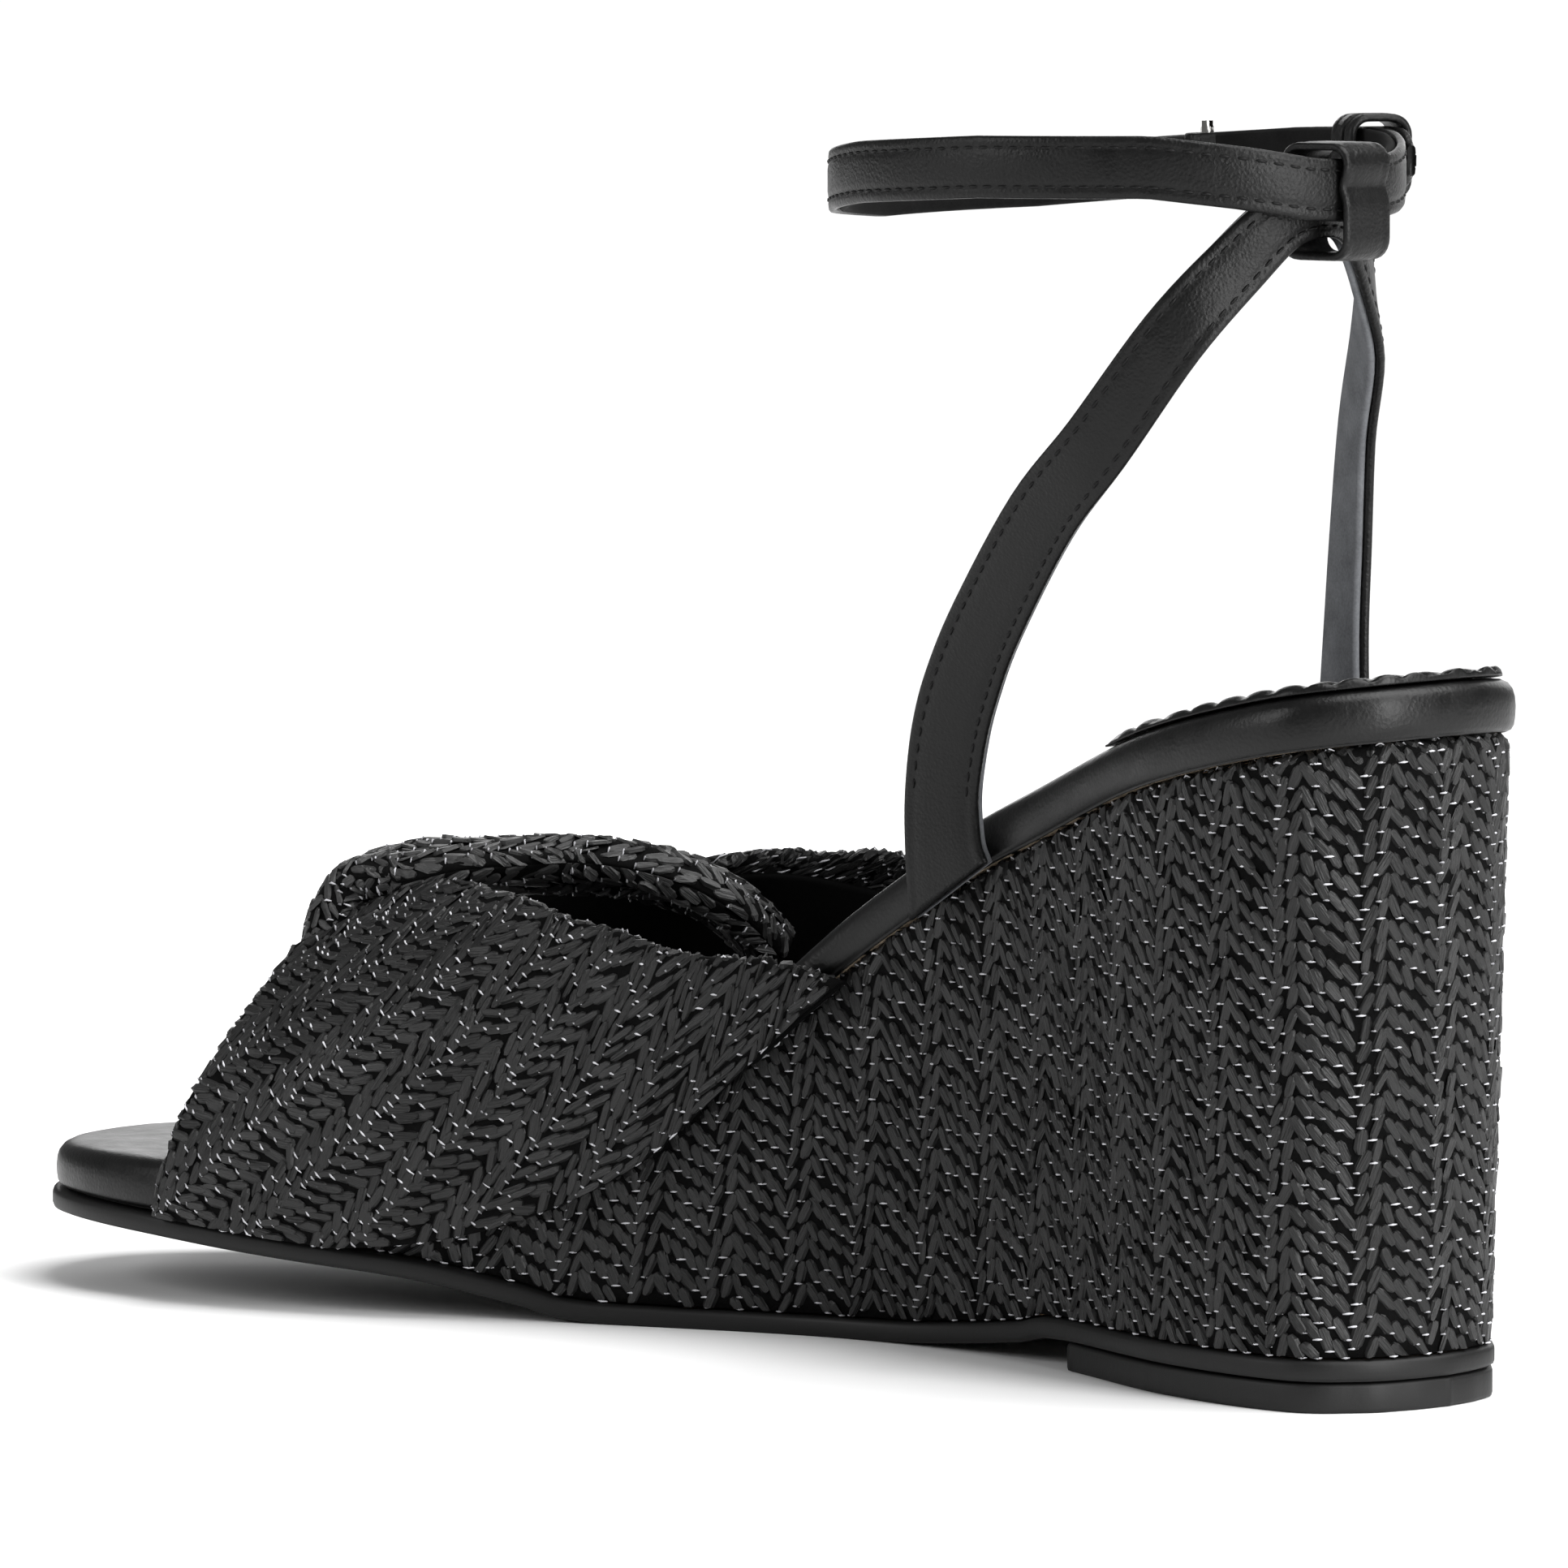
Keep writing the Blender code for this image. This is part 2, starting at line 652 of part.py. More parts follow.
def make_vamp(build):
    """Two woven bands from the rim to the crown, a lining under each, and the knot strand."""
    bands = (
        ("medial", MEDIAL_REAR, MEDIAL_FRONT, True),
        ("lateral", LATERAL_REAR, LATERAL_FRONT, False),
    )
    for side, rear, front, medial in bands:
        grid = vamp_grid(rear, front, medial, True)
        band = grid_surface(f"vamp_{side}", grid, build)
        face_towards(band, lambda centre: centre - under_foot(centre))
        solidify(band, VAMP_THICKNESS, 1)
        lining = vamp_grid(rear[2:], front[2:], medial, False, spans=10, levels=9, inset=0.06)
        inner = grid_surface(
            f"vamp_lining_{side}", moved_along_normals(lining, -0.4, under_foot), build
        )
        face_towards(inner, lambda centre: centre - under_foot(centre))
        solidify(inner, LINING_THICKNESS, -1)
    path = smooth(KNOT_PATH, 3)
    widths = np.interp(
        np.linspace(0, 1, len(path)), np.linspace(0, 1, len(KNOT_HALF_WIDTHS)), KNOT_HALF_WIDTHS
    )
    middle = np.array([170.0, -8.0, 30.0])
    normals = path - middle
    profiles = [oval(width, KNOT_HALF_THICKNESS) for width in widths]
    sweep("vamp_knot", path, normals, profiles, build)


def make_sling(build):
    points = smooth([row[0] for row in SLING_PATH], 4)
    widths = smooth([[row[1]] for row in SLING_PATH], 4)[:, 0]
    normals = smooth([row[2] for row in SLING_PATH], 4)
    for name, layer_out in (
        ("sling_strap_outer", OUTER_LAYER), ("sling_strap_lining", LINING_LAYER),
    ):
        ribbon(name, points, normals, widths, layer_out, build)


def fold_path():
    """The strap's end: in along the chape, round the buckle's centre bar and back over it."""
    low, high = OUTER_LAYER
    middle = (low + high) / 2
    rows = []
    normals = []
    for turn in np.radians(np.linspace(-90, 90, 9)):
        rows.append((math.cos(turn) * FOLD_RADIUS, BAR_OUT + math.sin(turn) * FOLD_RADIUS))
        normals.append((-math.cos(turn), -math.sin(turn)))
    rows.append((-2.6, BAR_OUT + FOLD_RADIUS - 0.1))
    normals.append((0, -1))
    points = [buckle_point(s, 0, q) for s, q in rows]
    _, forward, _, out = buckle_axes()
    directions = [forward * s + out * q for s, q in normals]
    return middle, points, directions


def make_ankle_strap(build, cutters):
    tail, tail_normals = ankle_path(smooth(TAIL_PATH, 2))
    loop_angles = [(angle, 0.0) for angle in np.arange(-50, CHAPE_ANGLE + 1, 8)]
    loop, loop_normals = ankle_path(loop_angles)
    middle, fold, fold_normals = fold_path()
    half = (OUTER_LAYER[1] - OUTER_LAYER[0]) / 2
    outer = np.vstack([
        tail + tail_normals * middle, loop + loop_normals * middle, np.array(fold)
    ])
    normals = np.vstack([tail_normals, loop_normals, np.array(fold_normals)])
    strap = ribbon("ankle_strap_outer", outer, normals, STRAP_WIDTH, (-half, half), build)
    lining_angles = [(angle, 0.0) for angle in np.append(np.arange(-50, 271, 8), LINING_END_ANGLE)]
    rest, rest_normals = ankle_path(lining_angles)
    inner = np.vstack([tail, rest])
    inner_normals = np.vstack([tail_normals, rest_normals])
    lining = ribbon("ankle_strap_lining", inner, inner_normals, STRAP_WIDTH, LINING_LAYER, build)
    half_slot = SLOT_WIDTH / 2
    tail_slot = slot_cutter("tail_slot", (2.2, -9.4, -half_slot), (9.2, -0.2, half_slot), cutters)
    fold_slot = slot_cutter("fold_slot", (-2.9, -6.2, -half_slot), (3.5, 0.05, half_slot), cutters)
    boolean(strap, tail_slot)
    boolean(lining, tail_slot)
    boolean(strap, fold_slot)
    return strap, lining


def make_buckle(build, cutters):
    """The wire frame with its centre bar, and the prong that turns on the bar."""
    pivot = buckle_point(0, 0, BAR_OUT)
    outline = rounded_rectangle(FRAME_HALF_LENGTH, FRAME_HALF_HEIGHT, 2.2)
    corners = [frame_point(a, b) for a, b in outline]
    frame = wire("buckle_frame", corners, WIRE_RADIUS, build, pivot, closed=True)
    ends = [buckle_point(0, side * FRAME_HALF_HEIGHT, BAR_OUT) for side in (-1, 1)]
    boolean(frame, wire("centre_bar", ends, WIRE_RADIUS, cutters, pivot), "UNION")

    ring = [
        buckle_point(PRONG_RING_RADIUS * math.cos(t), 0, BAR_OUT + PRONG_RING_RADIUS * math.sin(t))
        for t in np.radians(np.arange(0, 360, 30))
    ]
    prong = wire("buckle_prong", ring, PRONG_RADIUS, build, pivot, closed=True)
    front_bar_out = BAR_OUT - FRAME_HALF_LENGTH * math.sin(FRAME_TILT)
    rest_out = front_bar_out + WIRE_RADIUS + PRONG_RADIUS + GAP
    pin = [
        buckle_point(1.9, 0, BAR_OUT + 0.3),
        buckle_point(6.0, 0, (BAR_OUT + rest_out) / 2 + 0.3),
        buckle_point(FRAME_HALF_LENGTH + 0.9, 0, rest_out),
    ]
    boolean(prong, wire("prong_pin", pin, PRONG_RADIUS, cutters, pivot), "UNION")


def strap_ring(name, angle, reach_in, reach_out, low, high, length, pivot, build):
    """A leather ring round a strap, wall LOOP_WALL outside the given clear space."""
    point, out = ankle_frame(angle)
    half_out = (reach_out - reach_in) / 2 + LOOP_WALL / 2
    half_up = (high - low) / 2 + LOOP_WALL / 2
    centre = point + out * (reach_in + reach_out) / 2
    centre[2] = (low + high) / 2
    up = np.array([0.0, 0.0, 1.0])
    rows = rounded_rectangle(half_out, half_up, 1.4)
    points = [centre + out * a + up * b for a, b in rows]
    normals = [point_on - centre for point_on in points]
    return ribbon(
        name, points, normals, length, (-LOOP_WALL / 2, LOOP_WALL / 2), build, closed=True,
        pivot=pivot,
    )


def make_rings(build):
    """The keeper of the strap's tail, and the loop that ties the two straps at the back."""
    point, out = ankle_frame(KEEPER_ANGLE)
    height = point[2]
    keeper = strap_ring(
        "strap_keeper", KEEPER_ANGLE, -2.2, 4.9, height - 4.6, height + 4.6, 6.0,
        point + out * 1.5, build,
    )
    back = strap_ring(
        "back_loop", 180, -7.4, 1.9, 146.2, 159.1, 8.6, (ANKLE_CENTRE[0], ANKLE_CENTRE[1], 152.5),
        build,
    )
    return keeper, back


# Colour, roughness and metallic of each piece.
LOOKS = {
    "outsole": ((0.020, 0.020, 0.021, 1), 0.62, 0),
    "heel_lift": ((0.018, 0.018, 0.019, 1), 0.65, 0),
    "wedge_core": ((0.42, 0.29, 0.18, 1), 0.85, 0),
    "wedge_wrap": ((0.035, 0.035, 0.037, 1), 0.55, 0),
    "insole_board": ((0.34, 0.27, 0.20, 1), 0.85, 0),
    "shank": ((0.45, 0.45, 0.46, 1), 0.35, 1),
    "footbed_foam": ((0.30, 0.30, 0.29, 1), 0.9, 0),
    "footbed_cover": ((0.022, 0.022, 0.023, 1), 0.42, 0),
    "heel_pad": ((0.024, 0.024, 0.025, 1), 0.45, 0),
    "vamp_medial": ((0.040, 0.040, 0.042, 1), 0.50, 0),
    "vamp_lateral": ((0.039, 0.039, 0.041, 1), 0.50, 0),
    "vamp_knot": ((0.043, 0.043, 0.045, 1), 0.48, 0),
    "vamp_lining_medial": ((0.015, 0.015, 0.015, 1), 0.8, 0),
    "vamp_lining_lateral": ((0.015, 0.015, 0.016, 1), 0.8, 0),
    "sling_strap_outer": ((0.023, 0.023, 0.024, 1), 0.40, 0),
    "sling_strap_lining": ((0.110, 0.110, 0.112, 1), 0.6, 0),
    "ankle_strap_outer": ((0.023, 0.023, 0.025, 1), 0.40, 0),
    "ankle_strap_lining": ((0.110, 0.111, 0.112, 1), 0.6, 0),
    "strap_keeper": ((0.026, 0.026, 0.027, 1), 0.42, 0),
    "back_loop": ((0.025, 0.025, 0.026, 1), 0.42, 0),
    "buckle_frame": ((0.62, 0.60, 0.57, 1), 0.18, 1),
    "buckle_prong": ((0.61, 0.60, 0.58, 1), 0.18, 1),
}


def paint(obj):
    colour, roughness, metallic = LOOKS[obj.name]
    material = bpy.data.materials.new(obj.name)
    material.use_nodes = True
    shader = material.node_tree.nodes["Principled BSDF"]
    shader.inputs["Base Color"].default_value = colour
    shader.inputs["Roughness"].default_value = roughness
    shader.inputs["Metallic"].default_value = metallic
    obj.data.materials.clear()
    obj.data.materials.append(material)


def clear_scene():
    for obj in list(bpy.data.objects):
        bpy.data.objects.remove(obj, do_unlink=True)


def main():
    clear_scene()
    build = bpy.data.collections.new("wedge_sandal")
    cutters = bpy.data.collections.new("cutters")
    cutters.hide_render = True
    for collection in (build, cutters):
        bpy.context.scene.collection.children.link(collection)
    make_sole(build, cutters)
    make_vamp(build)
    make_sling(build)
    make_ankle_strap(build, cutters)
    make_buckle(build, cutters)
    make_rings(build)
    for obj in build.objects:
        shade(obj)
        paint(obj)
    for obj in cutters.objects:
        obj.hide_render = True
        obj.display_type = "WIRE"


main()
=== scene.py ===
"""Looks of the black wedge sandal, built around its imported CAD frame.

Lengths are in millimetres from the back of the heel, as in the CAD source, and become metres in
the row frame when a mesh is made. "Flat" places are (across, along) on a piece of cloth laid out.
"""

import json
import math

import bpy
import numpy as np
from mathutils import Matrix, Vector
from mathutils.bvhtree import BVHTree

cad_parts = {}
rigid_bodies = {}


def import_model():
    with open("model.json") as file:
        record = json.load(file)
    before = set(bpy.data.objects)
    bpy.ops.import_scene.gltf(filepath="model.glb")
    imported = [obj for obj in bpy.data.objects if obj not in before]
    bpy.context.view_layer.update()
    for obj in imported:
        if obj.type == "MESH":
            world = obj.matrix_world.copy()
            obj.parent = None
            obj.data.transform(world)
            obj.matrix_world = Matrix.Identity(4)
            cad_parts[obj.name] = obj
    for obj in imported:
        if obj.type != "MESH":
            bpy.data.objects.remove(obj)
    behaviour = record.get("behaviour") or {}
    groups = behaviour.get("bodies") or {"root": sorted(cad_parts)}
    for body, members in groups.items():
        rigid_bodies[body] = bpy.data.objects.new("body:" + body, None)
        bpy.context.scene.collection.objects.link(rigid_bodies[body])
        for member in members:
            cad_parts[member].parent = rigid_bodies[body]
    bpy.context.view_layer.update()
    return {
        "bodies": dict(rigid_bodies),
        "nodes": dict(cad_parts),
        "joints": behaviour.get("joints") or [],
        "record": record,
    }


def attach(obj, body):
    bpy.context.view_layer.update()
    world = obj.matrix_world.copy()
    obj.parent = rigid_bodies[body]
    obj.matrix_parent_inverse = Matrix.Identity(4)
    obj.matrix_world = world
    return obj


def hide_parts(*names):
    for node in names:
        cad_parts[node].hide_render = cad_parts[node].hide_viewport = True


MM = 0.001
ORIGIN = np.array([30.0, 1.0, 0.0])
SEED = 7

# -------- driving dimensions of the CAD
MEDIAL_OUTLINE = [
    (0, 2), (1.2, 9), (4.5, 16.5), (14, 23), (38, 20.5), (72, 8), (106, 5.5), (142, 16.5),
    (168, 28), (190, 34), (210, 35), (226, 30), (236, 20), (240, 9), (240.3, 2),
]
LATERAL_OUTLINE = [
    (0, 2), (0.8, -5), (3.8, -12), (13, -18.5), (38, -23.5), (72, -31), (107, -37), (142, -43),
    (168, -43), (194, -36), (214, -26), (228, -16), (236, -8), (240.3, 2),
]
OUTLINE_STEPS = 110
RIM_TOP = [
    (0, 93.0), (20, 89.8), (46, 83.5), (77, 72.3), (92, 64.5), (106, 55.5), (119, 44.3),
    (132, 32.5), (146, 25.0), (160, 20.8), (175, 19.2), (194, 19.1), (219, 19.3), (232, 19.0),
    (242, 18.8),
]
OUTSOLE_BOTTOM = [
    (0, 4.0), (61, 4.0), (72, 2.6), (86, 1.0), (102, 0.0), (140, 0.0), (150, 1.9), (160, 4.3),
    (168, 5.6), (181, 6.8), (194, 8.0), (206, 9.0), (219, 9.6), (232, 9.8), (242, 9.9),
]
FOOTBED_THICKNESS = [(0, 7.1), (205, 7.1), (219, 6.6), (232, 6.1), (242, 5.8)]
OUTSOLE_THICKNESS = 2.8
LIFT_HEIGHT = 3.7
LIFT_FRONT_X = 61.0
WEDGE_FRONT_X = 186.0
HEEL_PAD_FRONT_X = 50.0
OUTSOLE_INSET = [(0, 2.2), (100, 1.5), (140, 0.4), (190, -1.0), (225, -1.3), (242, -1.7)]
WEDGE_LOW_INSET = [(0, 2.4), (100, 1.8), (150, 0.9), (200, 0.6)]
WEDGE_TOP_INSET = 0.5
CROWN = [
    (100, 72), (125, 73), (147, 69), (165, 60.5), (185, 56.3), (195, 53.0), (203, 48.5),
    (210, 42.8), (220, 37),
]
# How full the last's section is above the rim: 2 is an ellipse, less is flatter.
ROUNDNESS = [(100, 2.2), (160, 2.1), (188, 1.6), (215, 1.6)]
MEDIAL_REAR = [
    (103, 46.0), (106, 48.0), (110, 48.9), (114, 49.2), (118, 49.2), (122, 49.4), (137, 51.6),
    (147, 53.0), (158, 54.8), (168, 55.2), (178, 55.2), (184, 55.4), (188, 56.0),
]
MEDIAL_FRONT = [
    (200.5, 12.0), (199, 18), (197, 25), (195, 31), (193.5, 37), (192.5, 42), (192, 46), (192, 51),
    (192.5, 55),
]
LATERAL_REAR = [
    (102, 46.5), (106, 51), (128, 57), (145, 58.3), (156, 57.8), (164, 56.0), (172, 55.2),
    (180, 55.2), (188, 56.0),
]
LATERAL_FRONT = [
    (198, 12.0), (198.5, 18), (197.5, 25), (195.5, 32), (194, 38), (193, 43), (192.5, 49),
    (192.5, 55),
]
STRAP_WIDTH = 8.0
OUTER_LAYER = (0.2, 1.4)
LINING_LAYER = (-1.2, -0.2)
SLING_PATH = [
    ((81.8, 8.4, 61.5), 14.6, (-0.02, 1, 0)),
    ((82.2, 9.0, 66.5), 12.6, (-0.05, 1, 0)),
    ((82.0, 9.6, 74.0), 11.3, (-0.15, 1, 0)),
    ((79.8, 10.8, 82.0), 10.9, (-0.25, 1, -0.1)),
    ((76.0, 12.6, 89.0), 10.6, (-0.3, 1, -0.2)),
    ((69.0, 15.5, 98.0), 10.2, (-0.3, 1, -0.2)),
    ((55.8, 20.0, 112.0), 9.8, (-0.35, 1, -0.1)),
    ((44.6, 22.0, 122.0), 9.3, (-0.5, 0.9, 0)),
    ((34.5, 19.5, 135.5), 8.8, (-0.6, 0.8, 0)),
    ((30.2, 12.4, 144.5), 8.4, (-0.8, 0.6, 0)),
    ((27.2, 6.6, 150.4), 8.0, (-0.95, 0.3, 0)),
    ((26.0, 0.0, 151.9), 7.8, (-1, 0, 0)),
    ((28.0, -7.2, 150.1), 8.0, (-0.95, -0.3, 0)),
    ((31.6, -14.6, 142.8), 8.4, (-0.8, -0.6, 0)),
    ((36.5, -21.5, 134.0), 8.8, (-0.5, -0.85, 0)),
    ((42.5, -26.5, 122.0), 9.2, (-0.5, -0.87, 0)),
    ((45.3, -28.6, 107.0), 9.6, (-0.45, -0.9, 0)),
    ((46.0, -28.6, 95.0), 10.0, (-0.42, -0.9, 0)),
    ((46.2, -28.5, 84.0), 10.6, (-0.35, -0.94, 0)),
    ((46.3, -28.5, 74.0), 10.9, (-0.2, -1, 0)),
]
ANKLE_CENTRE = (62.0, -1.0)
ANKLE_SEMI_AXES = (40.0, 30.0)
ANKLE_HEIGHT = [
    (0, 152.9), (30, 153.9), (60, 155.8), (95, 157.0), (130, 157.2), (150, 155.8), (165, 154.4),
    (180, 154.0), (200, 154.9), (225, 157.0), (240, 157.4), (262, 157.0), (286, 155.9),
    (300, 155.1), (320, 154.0), (360, 152.9),
]
TAIL_PATH = [
    (-132, 2.9), (-127, 2.9), (-122, 2.9), (-116, 2.9), (-110, 2.9), (-105, 2.9), (-100, 2.9),
    (-93, 2.9), (-90, 2.9), (-87, 2.9), (-84, 4.0), (-81, 6.2), (-78, 7.8),
    (-74, 8.2), (-72, 8.0), (-69, 6.2), (-66, 3.9), (-63.5, 1.7), (-61, 0.1), (-58, 0.0),
    (-55, 0.0),
]
TIP_TAPER = 5.0
LOOP_START_ANGLE = -52.0
CHAPE_ANGLE = 270.0
LINING_END_ANGLE = 280.0
BUCKLE_ANGLE = 286.0
BAR_OUT = 3.3
WIRE_RADIUS = 1.0
FRAME_HALF_LENGTH = 10.2
FRAME_HALF_HEIGHT = 5.6
FRAME_TILT = math.radians(7.5)
FRAME_ROLL = math.radians(4.7)
FOLD_RADIUS = BAR_OUT - sum(OUTER_LAYER) / 2
PRONG_RADIUS = 0.6
PRONG_RING_RADIUS = 2.0
SLOT_WIDTH = 2.6
KEEPER_ANGLE = 240.0
LOOP_WALL = 1.1

# -------- looks
PAD_INSET = 1.6
PAD_EDGE = 1.6
PAD_UNDERSIDE = 0.12
PAD_RIM = 0.35
PAD_CROWN = 0.5
PAD_GRID = (90, 72)
BUMP_PITCH = (4.8, 3.6)
BUMP_SHARE = (0.92, 0.86)
BUMP_HEIGHT = 0.62
# The knot's gathered strand is fuller than its CAD body and lies on the bands.
STRAND_PATH = [
    (190.5, 17, 41.0), (192.2, 13.5, 45.5), (193.2, 10.5, 51.2), (192.0, 7, 55.4),
    (186.9, 3, 57.2), (180.5, 0, 58.0), (173.6, -6, 58.5), (169, -11, 58.7), (163.6, -15, 58.2),
    (157.5, -19.5, 56.6), (153, -24, 53.6), (151, -28, 50.0), (150, -31, 46.5),
]
STRAND_HALF_WIDTHS = [5.0, 6.5, 8.4, 9.6, 9.8, 9.0, 8.0, 7.0, 5.5, 4.0]
STRAND_HALF_THICKNESS = 3.5
STRAND_INSIDE = np.array([168.0, -8.0, 28.0])
PIT = np.array([190.0, 6.0, 51.0])
FOLD_HEIGHT = 0.8
FOLD_REACH = 12.0
FOLD_COUNT = 14
FOOT_AXIS = (-8, 20)
LAST_OUT = 0.65
VAMP_BELOW_FOOTBED = 3.0
VAMP_ABOVE_SOLE = 0.3
VAMP_OUT = 2.3
EDGE_ROLL = 1.1
VAMP_LINING_SINK = 0.45
VAMP_LINING_WALL = 0.6
GROUND_WALL = 0.5
GROUND_SINK = 0.55
WRAP_ABOVE_SOLE = 0.3
WRAP_BELOW_FOOTBED = 1.9
WEDGE_MIDDLE_Y = -6
HEEL_CENTRE_X = 22
LEAF_LENGTH = 3.5
LEAF_WIDTH = 1.65
THREAD_SHARE = 0.7
# A weave's columns make one herringbone period: (distance right of the rib, drop, tilt in degrees).
# After them come the period, the pitch up a column, and the size and unevenness of the leaves.
WEDGE_WEAVE = {
    "columns": [
        (-2.75, 1.5, -20), (-0.85, 0.2, -20), (0.95, 0.0, 34), (2.85, 1.0, 35), (4.75, 2.0, 35),
        (6.65, 3.0, 34),
    ],
    "period": 11.2, "pitch": 2.8, "size": 1.0, "ruffle": 1.3,
}
VAMP_WEAVE = {
    "columns": [
        (-4.4, 1.6, -46), (-2.7, 0.8, -47), (-1.0, 0.0, -46), (0.9, 0.7, 25), (2.5, 1.5, 25),
        (4.1, 2.3, 25),
    ],
    "period": 10.1, "pitch": 2.3, "size": 0.95, "ruffle": 1.5,
}
STRAND_WEAVE = {
    "columns": [(-3.3, 0.6, -38), (-1.5, 0.0, -34), (0.5, 0.4, 30), (2.2, 1.4, 34)],
    "period": 7.3, "pitch": 2.4, "size": 0.9, "ruffle": 2.0,
}
VAMP_LEAN = math.radians(47)
STITCH_PITCH = 2.3
STITCH_LENGTH = 1.6
STITCH_FROM_EDGE = 1.5
# How far from each end of a strap's path its stitches start and stop.
SLING_STITCH_ENDS = (14, 9)
ANKLE_STITCH_ENDS = (4, 5)
# Slots for the prong, each two corners (forward, inward) in the buckle's axes.
TAIL_SLOT = ((2.2, -9.4), (9.2, -0.2))
FOLD_SLOT = ((-2.9, -6.2), (3.5, 0.05))
# How far a ring reaches inside and outside the ankle strap's line, and its lowest and highest.
KEEPER_REACH = (-2.2, 4.9)
KEEPER_HALF_HEIGHT = 4.6
BACK_LOOP_REACH = (-7.4, 1.9)
BACK_LOOP_HEIGHTS = (146.2, 159.1)
# The back loop's outer wall is pinched in at (height, by depth, within spread).
BACK_LOOP_PINCH = (154.6, 0.75, 1.5)
# The sling strap's base is cut at a slant, along the seam under the footbed.
BASE_SLANT = 0.5
BASE_SLANT_REACH = 16.0

# -------- camera and light
CAMERA_PLACE = (-0.9846, 1.1670, 0.2005)
CAMERA_AIM = (1034.8, -1125.4, -122.9)
LENS = 274.0
SURROUND_STRENGTH = 0.17
SUN_POWER = 3.6
SUN_SPREAD = math.radians(50)
SUN_DIRECTION = (0.36, 0.24, -1.0)
# Soft boxes: name, place, aim, size and power.
SOFT_BOXES = [
    ("heel_box", (-0.85, 0.05, 0.35), (0.0, 0.0, 0.05), (0.3, 0.7), 9),
    ("side_box", (0.55, 0.80, 0.50), (0.08, 0.0, 0.05), (0.3, 0.5), 3),
    ("back_box", (0.55, -0.75, 0.36), (0.15, 0.0, 0.03), (0.9, 0.4), 3.2),
]
FLOOR_HALF_WIDTH = 40.0


# ======== curves and tables
def table(rows, x):
    """The value at x of a table of (x, value)."""
    xs, values = zip(*rows)
    return np.interp(x, xs, values)


def smooth(points, per_span):
    """A Catmull-Rom curve through the rows of points, with per_span steps between two of them."""
    points = np.asarray(points, float)
    padded = np.vstack([2 * points[0] - points[1], points, 2 * points[-1] - points[-2]])
    rows = []
    for i in range(len(points) - 1):
        a, b, c, d = padded[i : i + 4]
        for step in range(per_span):
            t = step / per_span
            rows.append(
                0.5 * (2 * b + (c - a) * t + (2 * a - 5 * b + 4 * c - d) * t * t
                       + (3 * b - a - 3 * c + d) * t**3)
            )
    rows.append(points[-1])
    return np.array(rows)


def distances(points):
    """Distance along a polyline at each of its points."""
    steps = np.linalg.norm(np.diff(points, axis=0), axis=1)
    return np.concatenate([[0], np.cumsum(steps)])


def evenly(points, count):
    """The polyline resampled at count + 1 points of equal arc length."""
    along = distances(points)
    wanted = np.linspace(0, along[-1], count + 1)
    return np.stack([np.interp(wanted, along, column) for column in points.T], axis=1)


def mixed(first, second, share):
    """The first at share 0, the second at share 1."""
    return first * (1 - share) + second * share


def unit(vectors):
    return vectors / np.linalg.norm(vectors, axis=-1, keepdims=True)


def curve(rows, per_span=6):
    """The smooth curve through the rows of (x, value), as a function of x."""
    points = smooth(rows, per_span)
    return lambda x: np.interp(x, points[:, 0], points[:, 1])


rim_top = curve(RIM_TOP)
crown_top = curve(CROWN)
outsole_bottom = curve(OUTSOLE_BOTTOM, 3)
MEDIAL = smooth(MEDIAL_OUTLINE, 8)
LATERAL = smooth(LATERAL_OUTLINE, 8)


def footbed_bottom(x):
    return rim_top(x) - table(FOOTBED_THICKNESS, x)


def footbed_level(share):
    """The height of a share of the footbed's thickness, at station x."""
    return lambda x: footbed_bottom(x) + share * table(FOOTBED_THICKNESS, x)


def outsole_top(x):
    return outsole_bottom(x) + OUTSOLE_THICKNESS


def offset_side(points, inset, left):
    """The open polyline moved sideways by inset(x), towards the inside of the outline."""
    tangents = unit(np.gradient(points, axis=0))
    normals = np.stack([tangents[:, 1], -tangents[:, 0]], axis=1) * (1 if left else -1)
    return points + normals * np.asarray(inset)[:, None]


def sides(inset_rows, front=None, steps=OUTLINE_STEPS):
    """The medial and lateral outlines, inset, from the heel to the toe or to x = front."""
    found = []
    for points, left in ((MEDIAL, True), (LATERAL, False)):
        even = evenly(points, steps * 4)
        moved = offset_side(even, table(inset_rows, even[:, 0]), left)
        if front is not None:
            moved = moved[moved[:, 0] <= front]
            moved[-1, 0] = front
        found.append(evenly(moved, steps))
    medial, lateral = found
    for end in (0,) if front is not None else (0, -1):
        medial[end] = lateral[end] = (medial[end] + lateral[end]) / 2
    return found


# ======== meshes
def to_row(points):
    """Millimetres from the heel to metres in the row frame."""
    return (np.asarray(points, float) - ORIGIN) * MM


def add_object(name, points, faces, smooth_shading=True, attributes=None):
    mesh = bpy.data.meshes.new(name)
    mesh.from_pydata(to_row(points).tolist(), [], faces)
    mesh.update()
    if smooth_shading:
        mesh.shade_smooth()
    for key, (kind, values) in (attributes or {}).items():
        attribute = mesh.attributes.new(key, kind, "POINT")
        field = "vector" if kind == "FLOAT_VECTOR" else "value"
        attribute.data.foreach_set(field, np.asarray(values, np.float32).ravel())
    obj = bpy.data.objects.new(name, mesh)
    bpy.context.scene.collection.objects.link(obj)
    return obj


def face_out(obj):
    """Turns a closed mesh the right way round."""
    points = np.array([vertex.co for vertex in obj.data.vertices])
    obj.data.calc_loop_triangles()
    corners = points[np.array([tri.vertices for tri in obj.data.loop_triangles])]
    if np.linalg.det(corners).sum() < 0:
        obj.data.flip_normals()
    return obj


